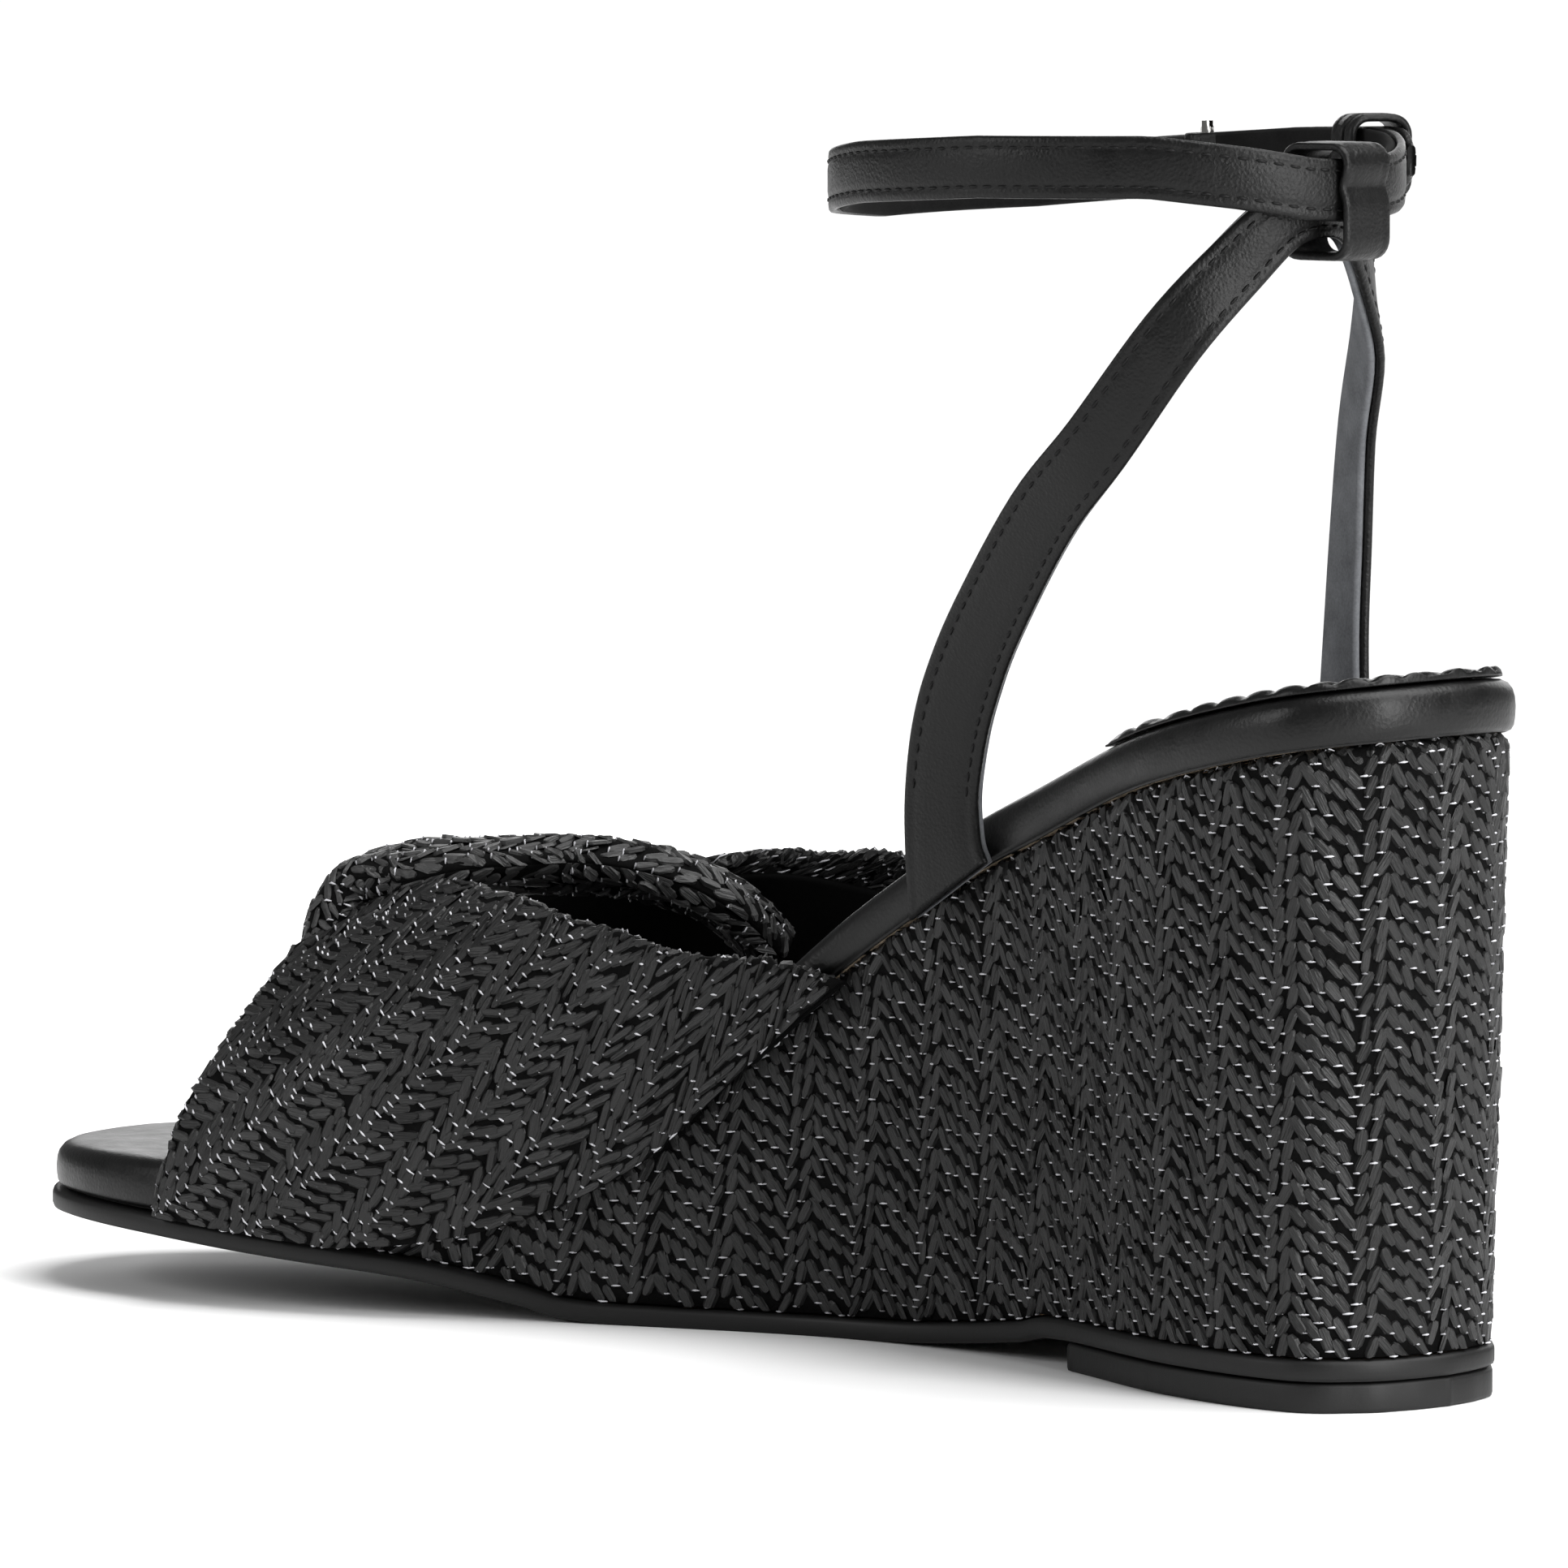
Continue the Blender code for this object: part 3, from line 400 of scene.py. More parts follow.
def applied(obj):
    """Bakes the object's modifiers into its mesh."""
    bpy.context.view_layer.update()
    graph = bpy.context.evaluated_depsgraph_get()
    mesh = bpy.data.meshes.new_from_object(obj.evaluated_get(graph))
    obj.modifiers.clear()
    obj.data = mesh
    return obj


def finish_piece(obj, look, body, replaced=()):
    """Material, body and the CAD nodes that the piece stands for."""
    obj.data.materials.clear()
    obj.data.materials.append(look)
    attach(obj, body)
    if replaced:
        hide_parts(*replaced)


def grid_faces(rows, columns, closed_rows=False, closed_columns=False):
    faces = []
    for i in range(rows if closed_rows else rows - 1):
        for j in range(columns if closed_columns else columns - 1):
            k = (i + 1) % rows
            m = (j + 1) % columns
            faces.append((i * columns + j, i * columns + m, k * columns + m, k * columns + j))
    return faces


def grid_normals(grid, inside):
    """Unit normals of a grid, away from the points that inside gives for it."""
    normals = unit(np.cross(np.gradient(grid, axis=0), np.gradient(grid, axis=1)))
    middle = len(grid) // 2
    outward = (grid - inside(grid))[middle]
    return -normals if np.sum(outward * normals[middle]) < 0 else normals


def between_grids(outer, inner):
    """Points and faces of the thin closed solid between two grids."""
    rows, columns = outer.shape[:2]
    count = rows * columns
    faces = grid_faces(rows, columns)
    faces += [tuple(count + i for i in reversed(face)) for face in faces]
    rim = [(0, j) for j in range(columns)] + [(i, columns - 1) for i in range(1, rows)]
    rim += [(rows - 1, j) for j in reversed(range(columns - 1))]
    rim += [(i, 0) for i in reversed(range(1, rows - 1))]
    ids = [i * columns + j for i, j in rim]
    faces += [(b, a, count + a, count + b) for a, b in zip(ids, ids[1:] + ids[:1])]
    return np.vstack([outer.reshape(-1, 3), inner.reshape(-1, 3)]), faces


def stacked(name, rings):
    """A closed solid of rings, each (inset rows, height function, front x), capped at both ends."""
    stack = []
    for inset, height, front in rings:
        medial, lateral = sides(inset, front)
        loop = np.vstack([medial, lateral[::-1]])
        stack.append(np.column_stack([loop, height(loop[:, 0])]))
    count = len(stack[0])
    faces = grid_faces(len(stack), count, closed_columns=True)
    for base in (0, (len(stack) - 1) * count):
        for i in range(OUTLINE_STEPS):
            far = base + count - 1 - i
            faces.append((base + i, base + i + 1, far - 1, far))
    return welded(name, np.vstack(stack), faces)


def welded(name, points, faces):
    """An object whose coincident points are joined."""
    obj = add_object(name, points, faces)
    obj.modifiers.new("Weld", "WELD").merge_threshold = 1e-6
    applied(obj).data.shade_smooth()
    return face_out(obj)


def boolean(obj, other, operation):
    """Joins another closed mesh to the object, or cuts it out, and removes it."""
    modifier = obj.modifiers.new("Boolean", "BOOLEAN")
    modifier.operation = operation
    modifier.solver = "EXACT"
    modifier.object = other
    applied(obj)
    bpy.data.objects.remove(other)
    return obj


# ======== cloth and its weave
class Cloth:
    """A curved surface with flat places, so that a flat pattern can be laid on it."""

    def __init__(self, grid, flat, normals):
        rows, columns = grid.shape[:2]
        self.flat = flat.reshape(-1, 2)
        self.points = grid.reshape(-1, 3)
        self.normals = normals.reshape(-1, 3)
        triangles = []
        for a, b, c, d in grid_faces(rows, columns):
            triangles += [(a, b, c), (a, c, d)]
        self.triangles = np.array(triangles)
        spots = [(a, b, 0.0) for a, b in self.flat]
        self.tree = BVHTree.FromPolygons(spots, triangles)

    def holds(self, place):
        return self.tree.find_nearest((place[0], place[1], 0.0))[3] < 0.02

    def place(self, flat, lifts):
        """Points of the surface at flat places, lifted along its normals."""
        found = [self.tree.find_nearest((a, b, 0.0)) for a, b in flat]
        corners = self.triangles[[hit[2] for hit in found]]
        spots = np.array([hit[0][:2] for hit in found])
        a, b, c = (self.flat[corners[:, k]] for k in range(3))
        u, v, w = b - a, c - a, spots - a
        area = u[:, 0] * v[:, 1] - v[:, 0] * u[:, 1]
        area = np.where(np.abs(area) < 1e-12, 1e-12, area)
        second = (w[:, 0] * v[:, 1] - v[:, 0] * w[:, 1]) / area
        third = (u[:, 0] * w[:, 1] - w[:, 0] * u[:, 1]) / area
        shares = np.stack([1 - second - third, second, third], axis=1)[..., None]
        points = np.sum(self.points[corners] * shares, axis=1)
        normals = unit(np.sum(self.normals[corners] * shares, axis=1))
        return points + normals * np.asarray(lifts)[:, None]


class Pile:
    """Many small closed shapes gathered into one mesh, each with its own tone."""

    def __init__(self):
        self.points = []
        self.faces = []
        self.tones = []
        self.strands = []
        self.count = 0

    def add(self, points, faces, tone, strands):
        self.points.append(points)
        self.faces.extend(tuple(i + self.count for i in face) for face in faces)
        self.tones.append(np.full(len(points), tone))
        self.strands.append(strands)
        self.count += len(points)

    def build(self, name, smooth_shading=True):
        attributes = {
            "tone": ("FLOAT", np.concatenate(self.tones)),
            "strand": ("FLOAT_VECTOR", np.vstack(self.strands)),
        }
        return add_object(
            name, np.vstack(self.points), self.faces, smooth_shading, attributes
        )


# A leaf of raffia, seen from above: (along, half width) of its rings between two sunk tips.
LEAF_RINGS = [(-0.46, 0.50), (-0.28, 0.94), (0.26, 1.0), (0.46, 0.55)]
LEAF_SECTION = [(-1.0, 0.02), (-0.6, 0.34), (0.55, 0.40), (1.0, 0.04), (0.0, -0.30)]


def leaf_template():
    """Places (across, along, lift) of a leaf of unit length and half width, and its faces."""
    rows = [(0.0, -0.52, -0.14)]
    for along, half in LEAF_RINGS:
        rows.extend((side * half, along, lift) for side, lift in LEAF_SECTION)
    rows.append((0.0, 0.52, -0.14))
    size = len(LEAF_SECTION)
    last = len(rows) - 1
    faces = []
    for k in range(size):
        m = (k + 1) % size
        faces.append((0, 1 + k, 1 + m))
        faces.append((last, last - size + m, last - size + k))
        for ring in range(len(LEAF_RINGS) - 1):
            low = 1 + ring * size
            faces.append((low + k, low + size + k, low + size + m, low + m))
    return np.array(rows), faces


LEAF_POINTS, LEAF_FACES = leaf_template()


def thread_template():
    """Places (along, round a, round b) of a short four-sided thread, and its faces."""
    rows = []
    for station in (-1.0, 0.0, 1.0):
        for turn in np.radians((0, 90, 180, 270)):
            rows.append((station, math.cos(turn), math.sin(turn)))
    return np.array(rows), grid_faces(3, 4, closed_columns=True) + [(3, 2, 1, 0), (8, 9, 10, 11)]


THREAD_POINTS, THREAD_FACES = thread_template()


def turned(places, degrees):
    """Flat (across, along) places turned so that a positive angle leans their tops left."""
    turn = math.radians(degrees)
    across = places[:, 0] * math.cos(turn) - places[:, 1] * math.sin(turn)
    along = places[:, 0] * math.sin(turn) + places[:, 1] * math.cos(turn)
    return np.stack([across, along], axis=1)


def lay_weave(cloth, right, up, rng, columns, period, pitch, size, ruffle):
    """Piles of herringbone leaves on the cloth and of pale threads, partly painted glints, across
    their ends.
    """
    leaves, threads = Pile(), Pile()
    right = np.asarray(right, float)
    up = np.asarray(up, float)
    across = cloth.flat @ right
    along = cloth.flat @ up
    first = math.floor(across.min() / period) - 1
    last = math.ceil(across.max() / period) + 1
    heights = np.arange(along.min() - pitch, along.max() + 2 * pitch, pitch)
    axes = np.stack([right, up])
    for number in range(first, last + 1):
        wander = rng.normal(0, 0.25)
        for offset, drop, tilt in columns:
            shift = rng.normal(0, 0.12)
            for height in heights:
                a = number * period + offset + wander + rng.normal(0, 0.10 * ruffle)
                s = height - drop + shift + rng.normal(0, 0.14 * ruffle)
                lean = tilt + rng.normal(0, 4.5 * ruffle)
                length = size * LEAF_LENGTH * (1 + rng.normal(0, 0.07))
                width = size * LEAF_WIDTH / 2 * (1 + rng.normal(0, 0.10))
                lift = size * (1 + rng.normal(0, 0.22 * ruffle))
                roll = rng.normal(0, 0.10 * ruffle)
                tone = rng.random()
                glint = rng.random()
                if not cloth.holds(right * a + up * s):
                    continue
                local = LEAF_POINTS * [width, length, 1]
                flat = (turned(local, lean) + [a, s]) @ axes
                points = cloth.place(flat, LEAF_POINTS[:, 2] * lift + roll * LEAF_POINTS[:, 0])
                strand = np.column_stack([
                    local[:, 1], local[:, 0], np.full(len(local), 40 * tone)
                ])
                leaves.add(points, LEAF_FACES, tone, strand)
                if glint < THREAD_SHARE:
                    add_thread(cloth, axes, a, s, lean, length, glint, threads)
    return leaves, threads


def make_weave(names, look, looks, cloth, right, up, rng, weave):
    """The leaves and the cross threads of a weave, as two pieces on the sandal."""
    leaves, threads = lay_weave(cloth, right, up, rng, **weave)
    leaf_name, thread_name = names
    finish_piece(leaves.build(leaf_name, False), looks[look], "sandal")
    finish_piece(threads.build(thread_name), looks["thread"], "sandal")


def add_thread(cloth, axes, a, s, lean, length, glint, threads):
    """A thin pale thread over the lower end of a leaf, pale partly from its own colour and partly
    as painted glints.
    """
    end = turned(np.array([[0.0, -0.46 * length]]), lean)[0] + [a, s]
    half = 0.40 + 0.5 * glint
    angle = 12 * (glint - 0.35)
    middle = turned(np.array([[-half, 0.0], [0.0, 0.05], [half, 0.0]]), angle) + end
    centre = cloth.place(middle @ axes, [0.14, 0.44, 0.12])
    direction = unit(centre[2] - centre[0])
    normal = cloth.place(middle[1:2] @ axes, [1.0])[0] - cloth.place(middle[1:2] @ axes, [0.0])[0]
    side = np.cross(direction, normal)
    rows = []
    for along, round_a, round_b in THREAD_POINTS:
        radius = 0.15 if along == 0 else 0.08
        rows.append(centre[int(along) + 1] + (side * round_a + normal * round_b) * radius)
    threads.add(np.array(rows), THREAD_FACES, glint, THREAD_POINTS)


def ground(name, grid, normals, wall=GROUND_WALL):
    """A thin closed sheet under the leaves: the grid and the same grid sunk by wall."""
    return face_out(add_object(name, *between_grids(grid, grid - normals * wall)))


# ======== materials
class Look:
    """A node material: its Principled shader and a short way to add and join nodes."""

    def __init__(self, name):
        self.material = bpy.data.materials.new(name)
        self.material.use_nodes = True
        self.tree = self.material.node_tree
        self.shader = self.tree.nodes["Principled BSDF"]

    def set(self, node, inputs):
        for name, value in inputs.items():
            socket = node.inputs[name]
            if isinstance(value, bpy.types.NodeSocket):
                self.tree.links.new(value, socket)
            else:
                socket.default_value = value
        return node

    def add(self, kind, inputs, **settings):
        node = self.tree.nodes.new("ShaderNode" + kind)
        for key, value in settings.items():
            setattr(node, key, value)
        return self.set(node, inputs)

    def attribute(self, name, output):
        return self.add("Attribute", {}, attribute_name=name).outputs[output]

    def maths(self, operation, a, b):
        return self.add("Math", {0: a, 1: b}, operation=operation).outputs["Value"]

    def cells(self, scale):
        """Distance from the nearest of many scattered points."""
        inputs = {"Scale": scale, "Vector": self.place()}
        return self.add("TexVoronoi", inputs).outputs["Distance"]

    def place(self, scale=(1, 1, 1)):
        """The object's own coordinates, scaled."""
        spot = self.add("TexCoord", {}).outputs["Object"]
        return self.add("Mapping", {"Vector": spot, "Scale": scale}).outputs["Vector"]

    def noise(self, scale, detail=3.0, rough=0.55, vector=None):
        inputs = {"Scale": scale, "Detail": detail, "Roughness": rough,
                  "Vector": vector or self.place()}
        return self.add("TexNoise", inputs).outputs["Fac"]

    def span(self, value, low, high, start=0.0, end=1.0):
        """The value from start..end taken to low..high."""
        inputs = {"Value": value, "From Min": start, "From Max": end, "To Min": low,
                  "To Max": high}
        return self.add("MapRange", inputs).outputs["Result"]

    def shades(self, value, *stops):
        """Greys or colours along the value: stops of (position, colour)."""
        node = self.add("ValToRGB", {"Fac": value})
        ramp = node.color_ramp
        while len(ramp.elements) < len(stops):
            ramp.elements.new(0.5)
        for element, (position, colour) in zip(ramp.elements, stops):
            element.position = position
            tint = (colour,) * 3 if isinstance(colour, float) else colour
            element.color = (*tint, 1)
        return node.outputs["Color"]

    def bump(self, height, strength, distance, normal=None):
        inputs = {"Height": height, "Strength": strength, "Distance": distance}
        if normal is not None:
            inputs["Normal"] = normal
        return self.add("Bump", inputs).outputs["Normal"]

    def finish(self, colour, roughness, normal=None, **sockets):
        inputs = {"Base Color": colour, "Roughness": roughness}
        if normal is not None:
            inputs["Normal"] = normal
        for key, value in sockets.items():
            inputs[key.replace("_", " ")] = value
        self.set(self.shader, inputs)
        return self.material


def raffia_look(name, dark, light):
    look = Look(name)
    strand = look.attribute("strand", "Vector")
    fibre_place = look.add("Mapping", {"Vector": strand, "Scale": (0.22, 3.2, 1.0)})
    fibres = look.noise(1.0, 3.0, 0.6, fibre_place.outputs["Vector"])
    tone = look.attribute("tone", "Fac")
    patches = look.noise(60.0, 2.0)
    blend = look.maths("ADD", look.maths("ADD", tone, fibres), patches)
    share = look.span(blend, 0.0, 1.0, 0.6, 2.3)
    colour = look.shades(share, (0.0, dark), (1.0, light))
    rough = look.span(fibres, 0.30, 0.52, 0.3, 0.7)
    normal = look.bump(fibres, 0.9, 0.00030)
    return look.finish(colour, rough, normal, Specular_IOR_Level=0.36)


def thread_look():
    look = Look("pale_thread_painted_glints")
    tone = look.attribute("tone", "Fac")
    # Pale grey: partly the thread's own colour, partly painted glints standing in for highlights on
    # the clear nylon thread.
    colour = look.shades(tone, (0.0, (0.16, 0.16, 0.17)), (0.7, (0.62, 0.62, 0.65)))
    rough = look.span(look.noise(3000.0), 0.22, 0.42)
    return look.finish(colour, rough)


def ground_look():
    look = Look("ground_cloth")
    weave = look.noise(1500.0, 2.0)
    colour = look.shades(weave, (0.3, 0.0010), (0.7, 0.0028))
    rough = look.span(weave, 0.8, 0.98)
    return look.finish(colour, rough, look.bump(weave, 0.5, 0.0002), Specular_IOR_Level=0.08)


def leather_look(name, dark, light, low_rough, high_rough, grain=0.00006, scale=1500.0,
                 shine=0.26):
    look = Look(name)
    wander = look.noise(240.0, 3.0)
    pores = look.span(look.cells(scale), 0.0, 1.0, 0.05, 0.6)
    height = look.maths("MULTIPLY", pores, look.noise(scale * 1.7, 2.0))
    colour = look.shades(wander, (0.3, dark), (0.7, light))
    rough = look.span(wander, low_rough, high_rough, 0.3, 0.7)
    soft = look.bump(wander, 0.15, 0.0003)
    normal = look.bump(height, 0.6, grain, soft)
    return look.finish(colour, rough, normal, Specular_IOR_Level=shine)


def suede_look(name, dark, light):
    look = Look(name)
    nap = look.noise(2600.0, 4.0, 0.7)
    share = look.maths("ADD", nap, look.noise(180.0, 3.0))
    colour = look.shades(look.span(share, 0.0, 1.0, 0.7, 1.3), (0.0, dark), (1.0, light))
    normal = look.bump(nap, 0.5, 0.00008)
    return look.finish(colour, look.span(nap, 0.75, 0.95), normal, Specular_IOR_Level=0.1)


def rubber_look(name, dark, light):
    look = Look(name)
    fine = look.noise(1400.0, 4.0, 0.65)
    broad = look.noise(40.0, 3.0)
    colour = look.shades(broad, (0.3, dark), (0.7, light))
    normal = look.bump(fine, 0.35, 0.00008)
    return look.finish(colour, look.span(broad, 0.45, 0.6), normal, Specular_IOR_Level=0.3)


def metal_look(name, dark, light, low_rough, high_rough):
    look = Look(name)
    scratches = look.noise(900.0, 4.0, 0.7, look.place((1.0, 1.0, 0.12)))
    colour = look.shades(scratches, (0.3, dark), (0.7, light))
    rough = look.span(scratches, low_rough, high_rough, 0.3, 0.7)
    return look.finish(colour, rough, look.bump(scratches, 0.08, 0.00004), Metallic=1.0)


def grained_look(name, dark, light, scale, rough):
    """Cork, board and foam, which are all inside the shoe."""
    look = Look(name)
    spots = look.cells(scale)
    colour = look.shades(look.span(spots, 0.0, 1.0, 0.0, 0.8), (0.0, dark), (1.0, light))
    return look.finish(colour, look.span(spots, rough - 0.08, rough), look.bump(spots, 0.4, 0.0003))


def make_looks():
    return {
        "raffia": raffia_look("raffia", 0.003, 0.016),
        # The knot's raffia is painted lighter than the other raffia: painted light for the top
        # light that falls on the knot.
        "knot_raffia_painted_light": raffia_look("knot_raffia_painted_light", 0.006, 0.045),
        "thread": thread_look(),
        "ground": ground_look(),
        "footbed": leather_look("footbed_leather", 0.0025, 0.0045, 0.34, 0.44),
        "strap": leather_look("strap_leather", 0.0035, 0.0060, 0.36, 0.46, 0.00012, 1700.0, 0.2),
        "loop": leather_look("loop_leather", 0.0038, 0.0062, 0.38, 0.48, 0.00012, 1650.0, 0.2),
        "stitch": leather_look("stitch_thread", 0.0015, 0.0040, 0.5, 0.6, 0.00003, 4000.0, 0.2),
        "strap_lining": suede_look(
            "strap_lining_suede", (0.085, 0.088, 0.094), (0.16, 0.165, 0.175)
        ),
        "ankle_lining": suede_look("ankle_lining_suede", 0.004, 0.010),
        "vamp_lining": suede_look("vamp_lining_cloth", 0.0012, 0.0030),
        "rubber": rubber_look("outsole_rubber", 0.0035, 0.0060),
        "heel_rubber": rubber_look("heel_rubber", 0.0055, 0.0085),
        "nickel": metal_look("polished_nickel", (0.55, 0.54, 0.52), (0.66, 0.65, 0.63), 0.12, 0.2),
        "prong": metal_look("prong_nickel", (0.54, 0.53, 0.52), (0.64, 0.63, 0.62), 0.14, 0.22),
        "steel": metal_look("shank_steel", (0.30, 0.30, 0.31), (0.42, 0.42, 0.43), 0.3, 0.45),
        "cork": grained_look("cork", (0.20, 0.12, 0.07), (0.50, 0.34, 0.21), 900.0, 0.85),
        "board": grained_look("fibre_board", (0.22, 0.17, 0.12), (0.40, 0.32, 0.23), 1800.0, 0.9),
        "foam": grained_look("foam", (0.25, 0.25, 0.24), (0.38, 0.38, 0.37), 2200.0, 0.92),
    }


# ======== sole
def level(function, rise):
    """The height function, raised by rise."""
    return lambda x: function(x) + rise


# Edge profiles, from the underside to the top. The footbed's is (inset, share of its thickness),
# and the others are (inset, height).
FOOTBED_PROFILE = [
    (1.1, 0.0), (0.45, 0.035), (0.1, 0.12), (-0.05, 0.27), (-0.1, 0.45), (0.0, 0.62),
    (0.3, 0.77), (0.9, 0.89), (1.9, 0.965), (3.2, 0.995), (5.0, 1.0),
]
FOOTBED_TOE_FULLNESS = [(0, 0.0), (195, 0.0), (236, 0.9)]
OUTSOLE_PROFILE = [(0.75, 0.0), (0.2, 0.22), (0.0, 0.7), (0.0, 2.1), (0.2, 2.58), (0.75, 2.8)]
LIFT_PROFILE = [(0.5, 0.0), (0.1, 0.2), (0.0, 0.6), (0.0, 3.3), (0.15, LIFT_HEIGHT)]
LIFT_INSET = 2.45


def make_sole(looks):
    """Rounded leather footbed, rubber outsole and heel lift, and the padded heel."""
    rings = []
    for inset, share in FOOTBED_PROFILE:
        rows = [(x, inset - fuller) for x, fuller in FOOTBED_TOE_FULLNESS]
        rings.append((rows, footbed_level(share), None))
    cover = stacked("footbed_leather_cover", rings)
    finish_piece(cover, looks["footbed"], "sandal", ["footbed_cover"])

    rings = []
    for inset, rise in OUTSOLE_PROFILE:
        rows = [(x, value + inset) for x, value in OUTSOLE_INSET]
        rings.append((rows, level(outsole_bottom, rise), None))
    sole = stacked("rubber_outsole", rings)
    finish_piece(sole, looks["rubber"], "sandal", ["outsole"])

    rings = [
        ([(0, LIFT_INSET + inset)], level(np.zeros_like, rise), LIFT_FRONT_X - inset)
        for inset, rise in LIFT_PROFILE
    ]
    lift = stacked("rubber_heel_lift", rings)
    finish_piece(lift, looks["heel_rubber"], "sandal", ["heel_lift"])
    make_heel_pad(looks)


def make_heel_pad(looks):
    """A thin padded heel cushion with rows of lens-shaped bumps."""
    medial, lateral = sides([(0, PAD_INSET)], HEEL_PAD_FRONT_X, PAD_GRID[0])
    shares = np.linspace(0, 1, PAD_GRID[1] + 1)
    grid = mixed(medial[:, None], lateral[:, None], shares[:, None])
    x, y = grid[..., 0], grid[..., 1]
    width = np.linalg.norm(medial - lateral, axis=1)[:, None]
    from_side = np.minimum(shares, 1 - shares)[None, :] * width
    edge = np.clip(np.minimum(from_side, HEEL_PAD_FRONT_X - x) / PAD_EDGE, 0, 1)
    edge = np.sqrt(1 - (1 - edge) ** 2)
    across = y / BUMP_PITCH[1]
    along = x / BUMP_PITCH[0] + np.floor(across) % 2 / 2
    dot = np.hypot((along % 1 - 0.5) * 2 / BUMP_SHARE[0], (across % 1 - 0.5) * 2 / BUMP_SHARE[1])
    bumps = np.clip(1 - dot**2, 0, 1) ** 0.6
    top = rim_top(x) + PAD_RIM + PAD_CROWN * edge + BUMP_HEIGHT * bumps * edge
    bottom = rim_top(x) + PAD_UNDERSIDE
    pad = welded("heel_cushion", *between_grids(np.dstack([grid, top]), np.dstack([grid, bottom])))
    finish_piece(pad, looks["footbed"], "sandal", ["heel_pad"])


# ======== wedge
def rolled_top(grid, flat, normals, radius=1.5, reach=2.2):
    """Turns the top of a cloth wall inwards, under the footbed."""
    edge, out = grid[:, -1], normals[:, -1]
    rise = np.array([0.0, 0.0, 1.0])
    columns, places = [grid], [flat]
    for turn in np.radians((25, 50, 75, 95)):
        moved = edge - out * radius * (1 - math.cos(turn)) + rise * radius * math.sin(turn)
        columns.append(moved[:, None])
        places.append((flat[:, -1] + np.array([0.0, radius * turn]))[:, None])
    columns.append((columns[-1][:, 0] - out * reach)[:, None])
    places.append((places[-1][:, 0] + np.array([0.0, reach]))[:, None])
    return np.concatenate(columns, axis=1), np.concatenate(places, axis=1)


def make_wedge(looks, rng):
    """The wedge's woven cover: a dark ground cloth with herringbone leaves standing on it."""
    loops = []
    for inset, height in (
        (WEDGE_LOW_INSET, level(outsole_top, WRAP_ABOVE_SOLE)),
        ([(0, WEDGE_TOP_INSET)], level(footbed_bottom, -WRAP_BELOW_FOOTBED)),
    ):
        medial, lateral = sides([(x, value + GROUND_SINK) for x, value in inset], WEDGE_FRONT_X)
        loop = np.vstack([medial[::-1], lateral[1:]])
        along = distances(loop)
        loops.append((np.column_stack([loop, height(loop[:, 0])]), along - along[len(medial) - 1]))
    levels = np.linspace(0, 1, 15)
    (low, low_along), (high, high_along) = loops
    grid = mixed(low[:, None], high[:, None], levels[:, None])
    flat = np.dstack([mixed(low_along[:, None], high_along[:, None], levels), grid[..., 2]])

    def inside(points):
        middle = np.array(points)
        middle[..., 1] = WEDGE_MIDDLE_Y
        middle[..., 0] = np.maximum(middle[..., 0], HEEL_CENTRE_X)
        return middle

    grid, flat = rolled_top(grid, flat, grid_normals(grid, inside))
    normals = grid_normals(grid, inside)
    base = ground("wedge_ground_cloth", grid, normals)
    finish_piece(base, looks["ground"], "sandal", ["wedge_wrap"])
    cloth = Cloth(grid, flat, normals)
    names = ("wedge_raffia_weave", "wedge_cross_threads")
    make_weave(names, "raffia", looks, cloth, (1, 0), (0, 1), rng, WEDGE_WEAVE)


# ======== vamp
def under_foot(grid):
    """The point inside the foot beside each point of a grid."""
    middle = np.array(grid, float)
    middle[..., 1], middle[..., 2] = FOOT_AXIS
    return middle


def side_y(x, medial):
    """The outline's y at x, on one side of the shoe."""
    points = MEDIAL if medial else LATERAL
    usable = points[(points[:, 0] > 20) & (points[:, 0] < 232)]
    return np.interp(x, usable[:, 0], usable[:, 1])


def vamp_base(x):
    """Height of the vamp's lower edge, tucked between the footbed and the outsole."""
    return max(footbed_bottom(x) - VAMP_BELOW_FOOTBED, outsole_top(x) + VAMP_ABOVE_SOLE)


def last_point(x, height, medial):
    """The last's surface at x. Height is 0 at the vamp's base, 1 at the rim, 2 at the crown."""
    lateral_y = side_y(x, False) - LAST_OUT
    medial_y = side_y(x, True) + LAST_OUT
    rim = rim_top(x)
    base = vamp_base(x)
    edge = medial_y if medial else lateral_y
    if height <= 1:
        return np.array([x, edge, base + (rim - base) * height])
    middle = (medial_y + lateral_y) / 2
    turn = math.radians(min(height - 1, 1) * 90)
    flatness = 2 / table(ROUNDNESS, x)
    y = middle + (edge - middle) * math.cos(turn) ** flatness
    return np.array([x, y, rim + (crown_top(x) - rim) * math.sin(turn) ** flatness])


def height_at(x, z):
    """The height parameter of last_point that gives z at station x."""
    rim = rim_top(x)
    base = vamp_base(x)
    if z <= rim:
        return max(0.0, (z - base) / (rim - base))
    share = min(1.0, (z - rim) / (crown_top(x) - rim))
    return 1 + math.degrees(math.asin(share ** (table(ROUNDNESS, x) / 2))) / 90


# About how many millimetres one unit of height is, so that marks can be evenly spaced.
HEIGHT_SCALE = np.array([1, 40])


def vamp_marks(rear, front, from_base, spans, levels, inset=0.0):
    """(x, height) between the rear and front edges of one band."""
    edges = []
    for rows in (rear, front):
        marks = np.array([(x, height_at(x, z)) for x, z in rows])
        if from_base:
            marks[0, 1] = 0.0
        edges.append(evenly(smooth(marks * HEIGHT_SCALE, 6), levels) / HEIGHT_SCALE)
    shares = np.linspace(inset, 1 - inset, spans + 1)[:, None, None]
    return mixed(edges[0], edges[1], shares)


def on_last(marks, medial):
    return np.array([[last_point(x, height, medial) for x, height in row] for row in marks])


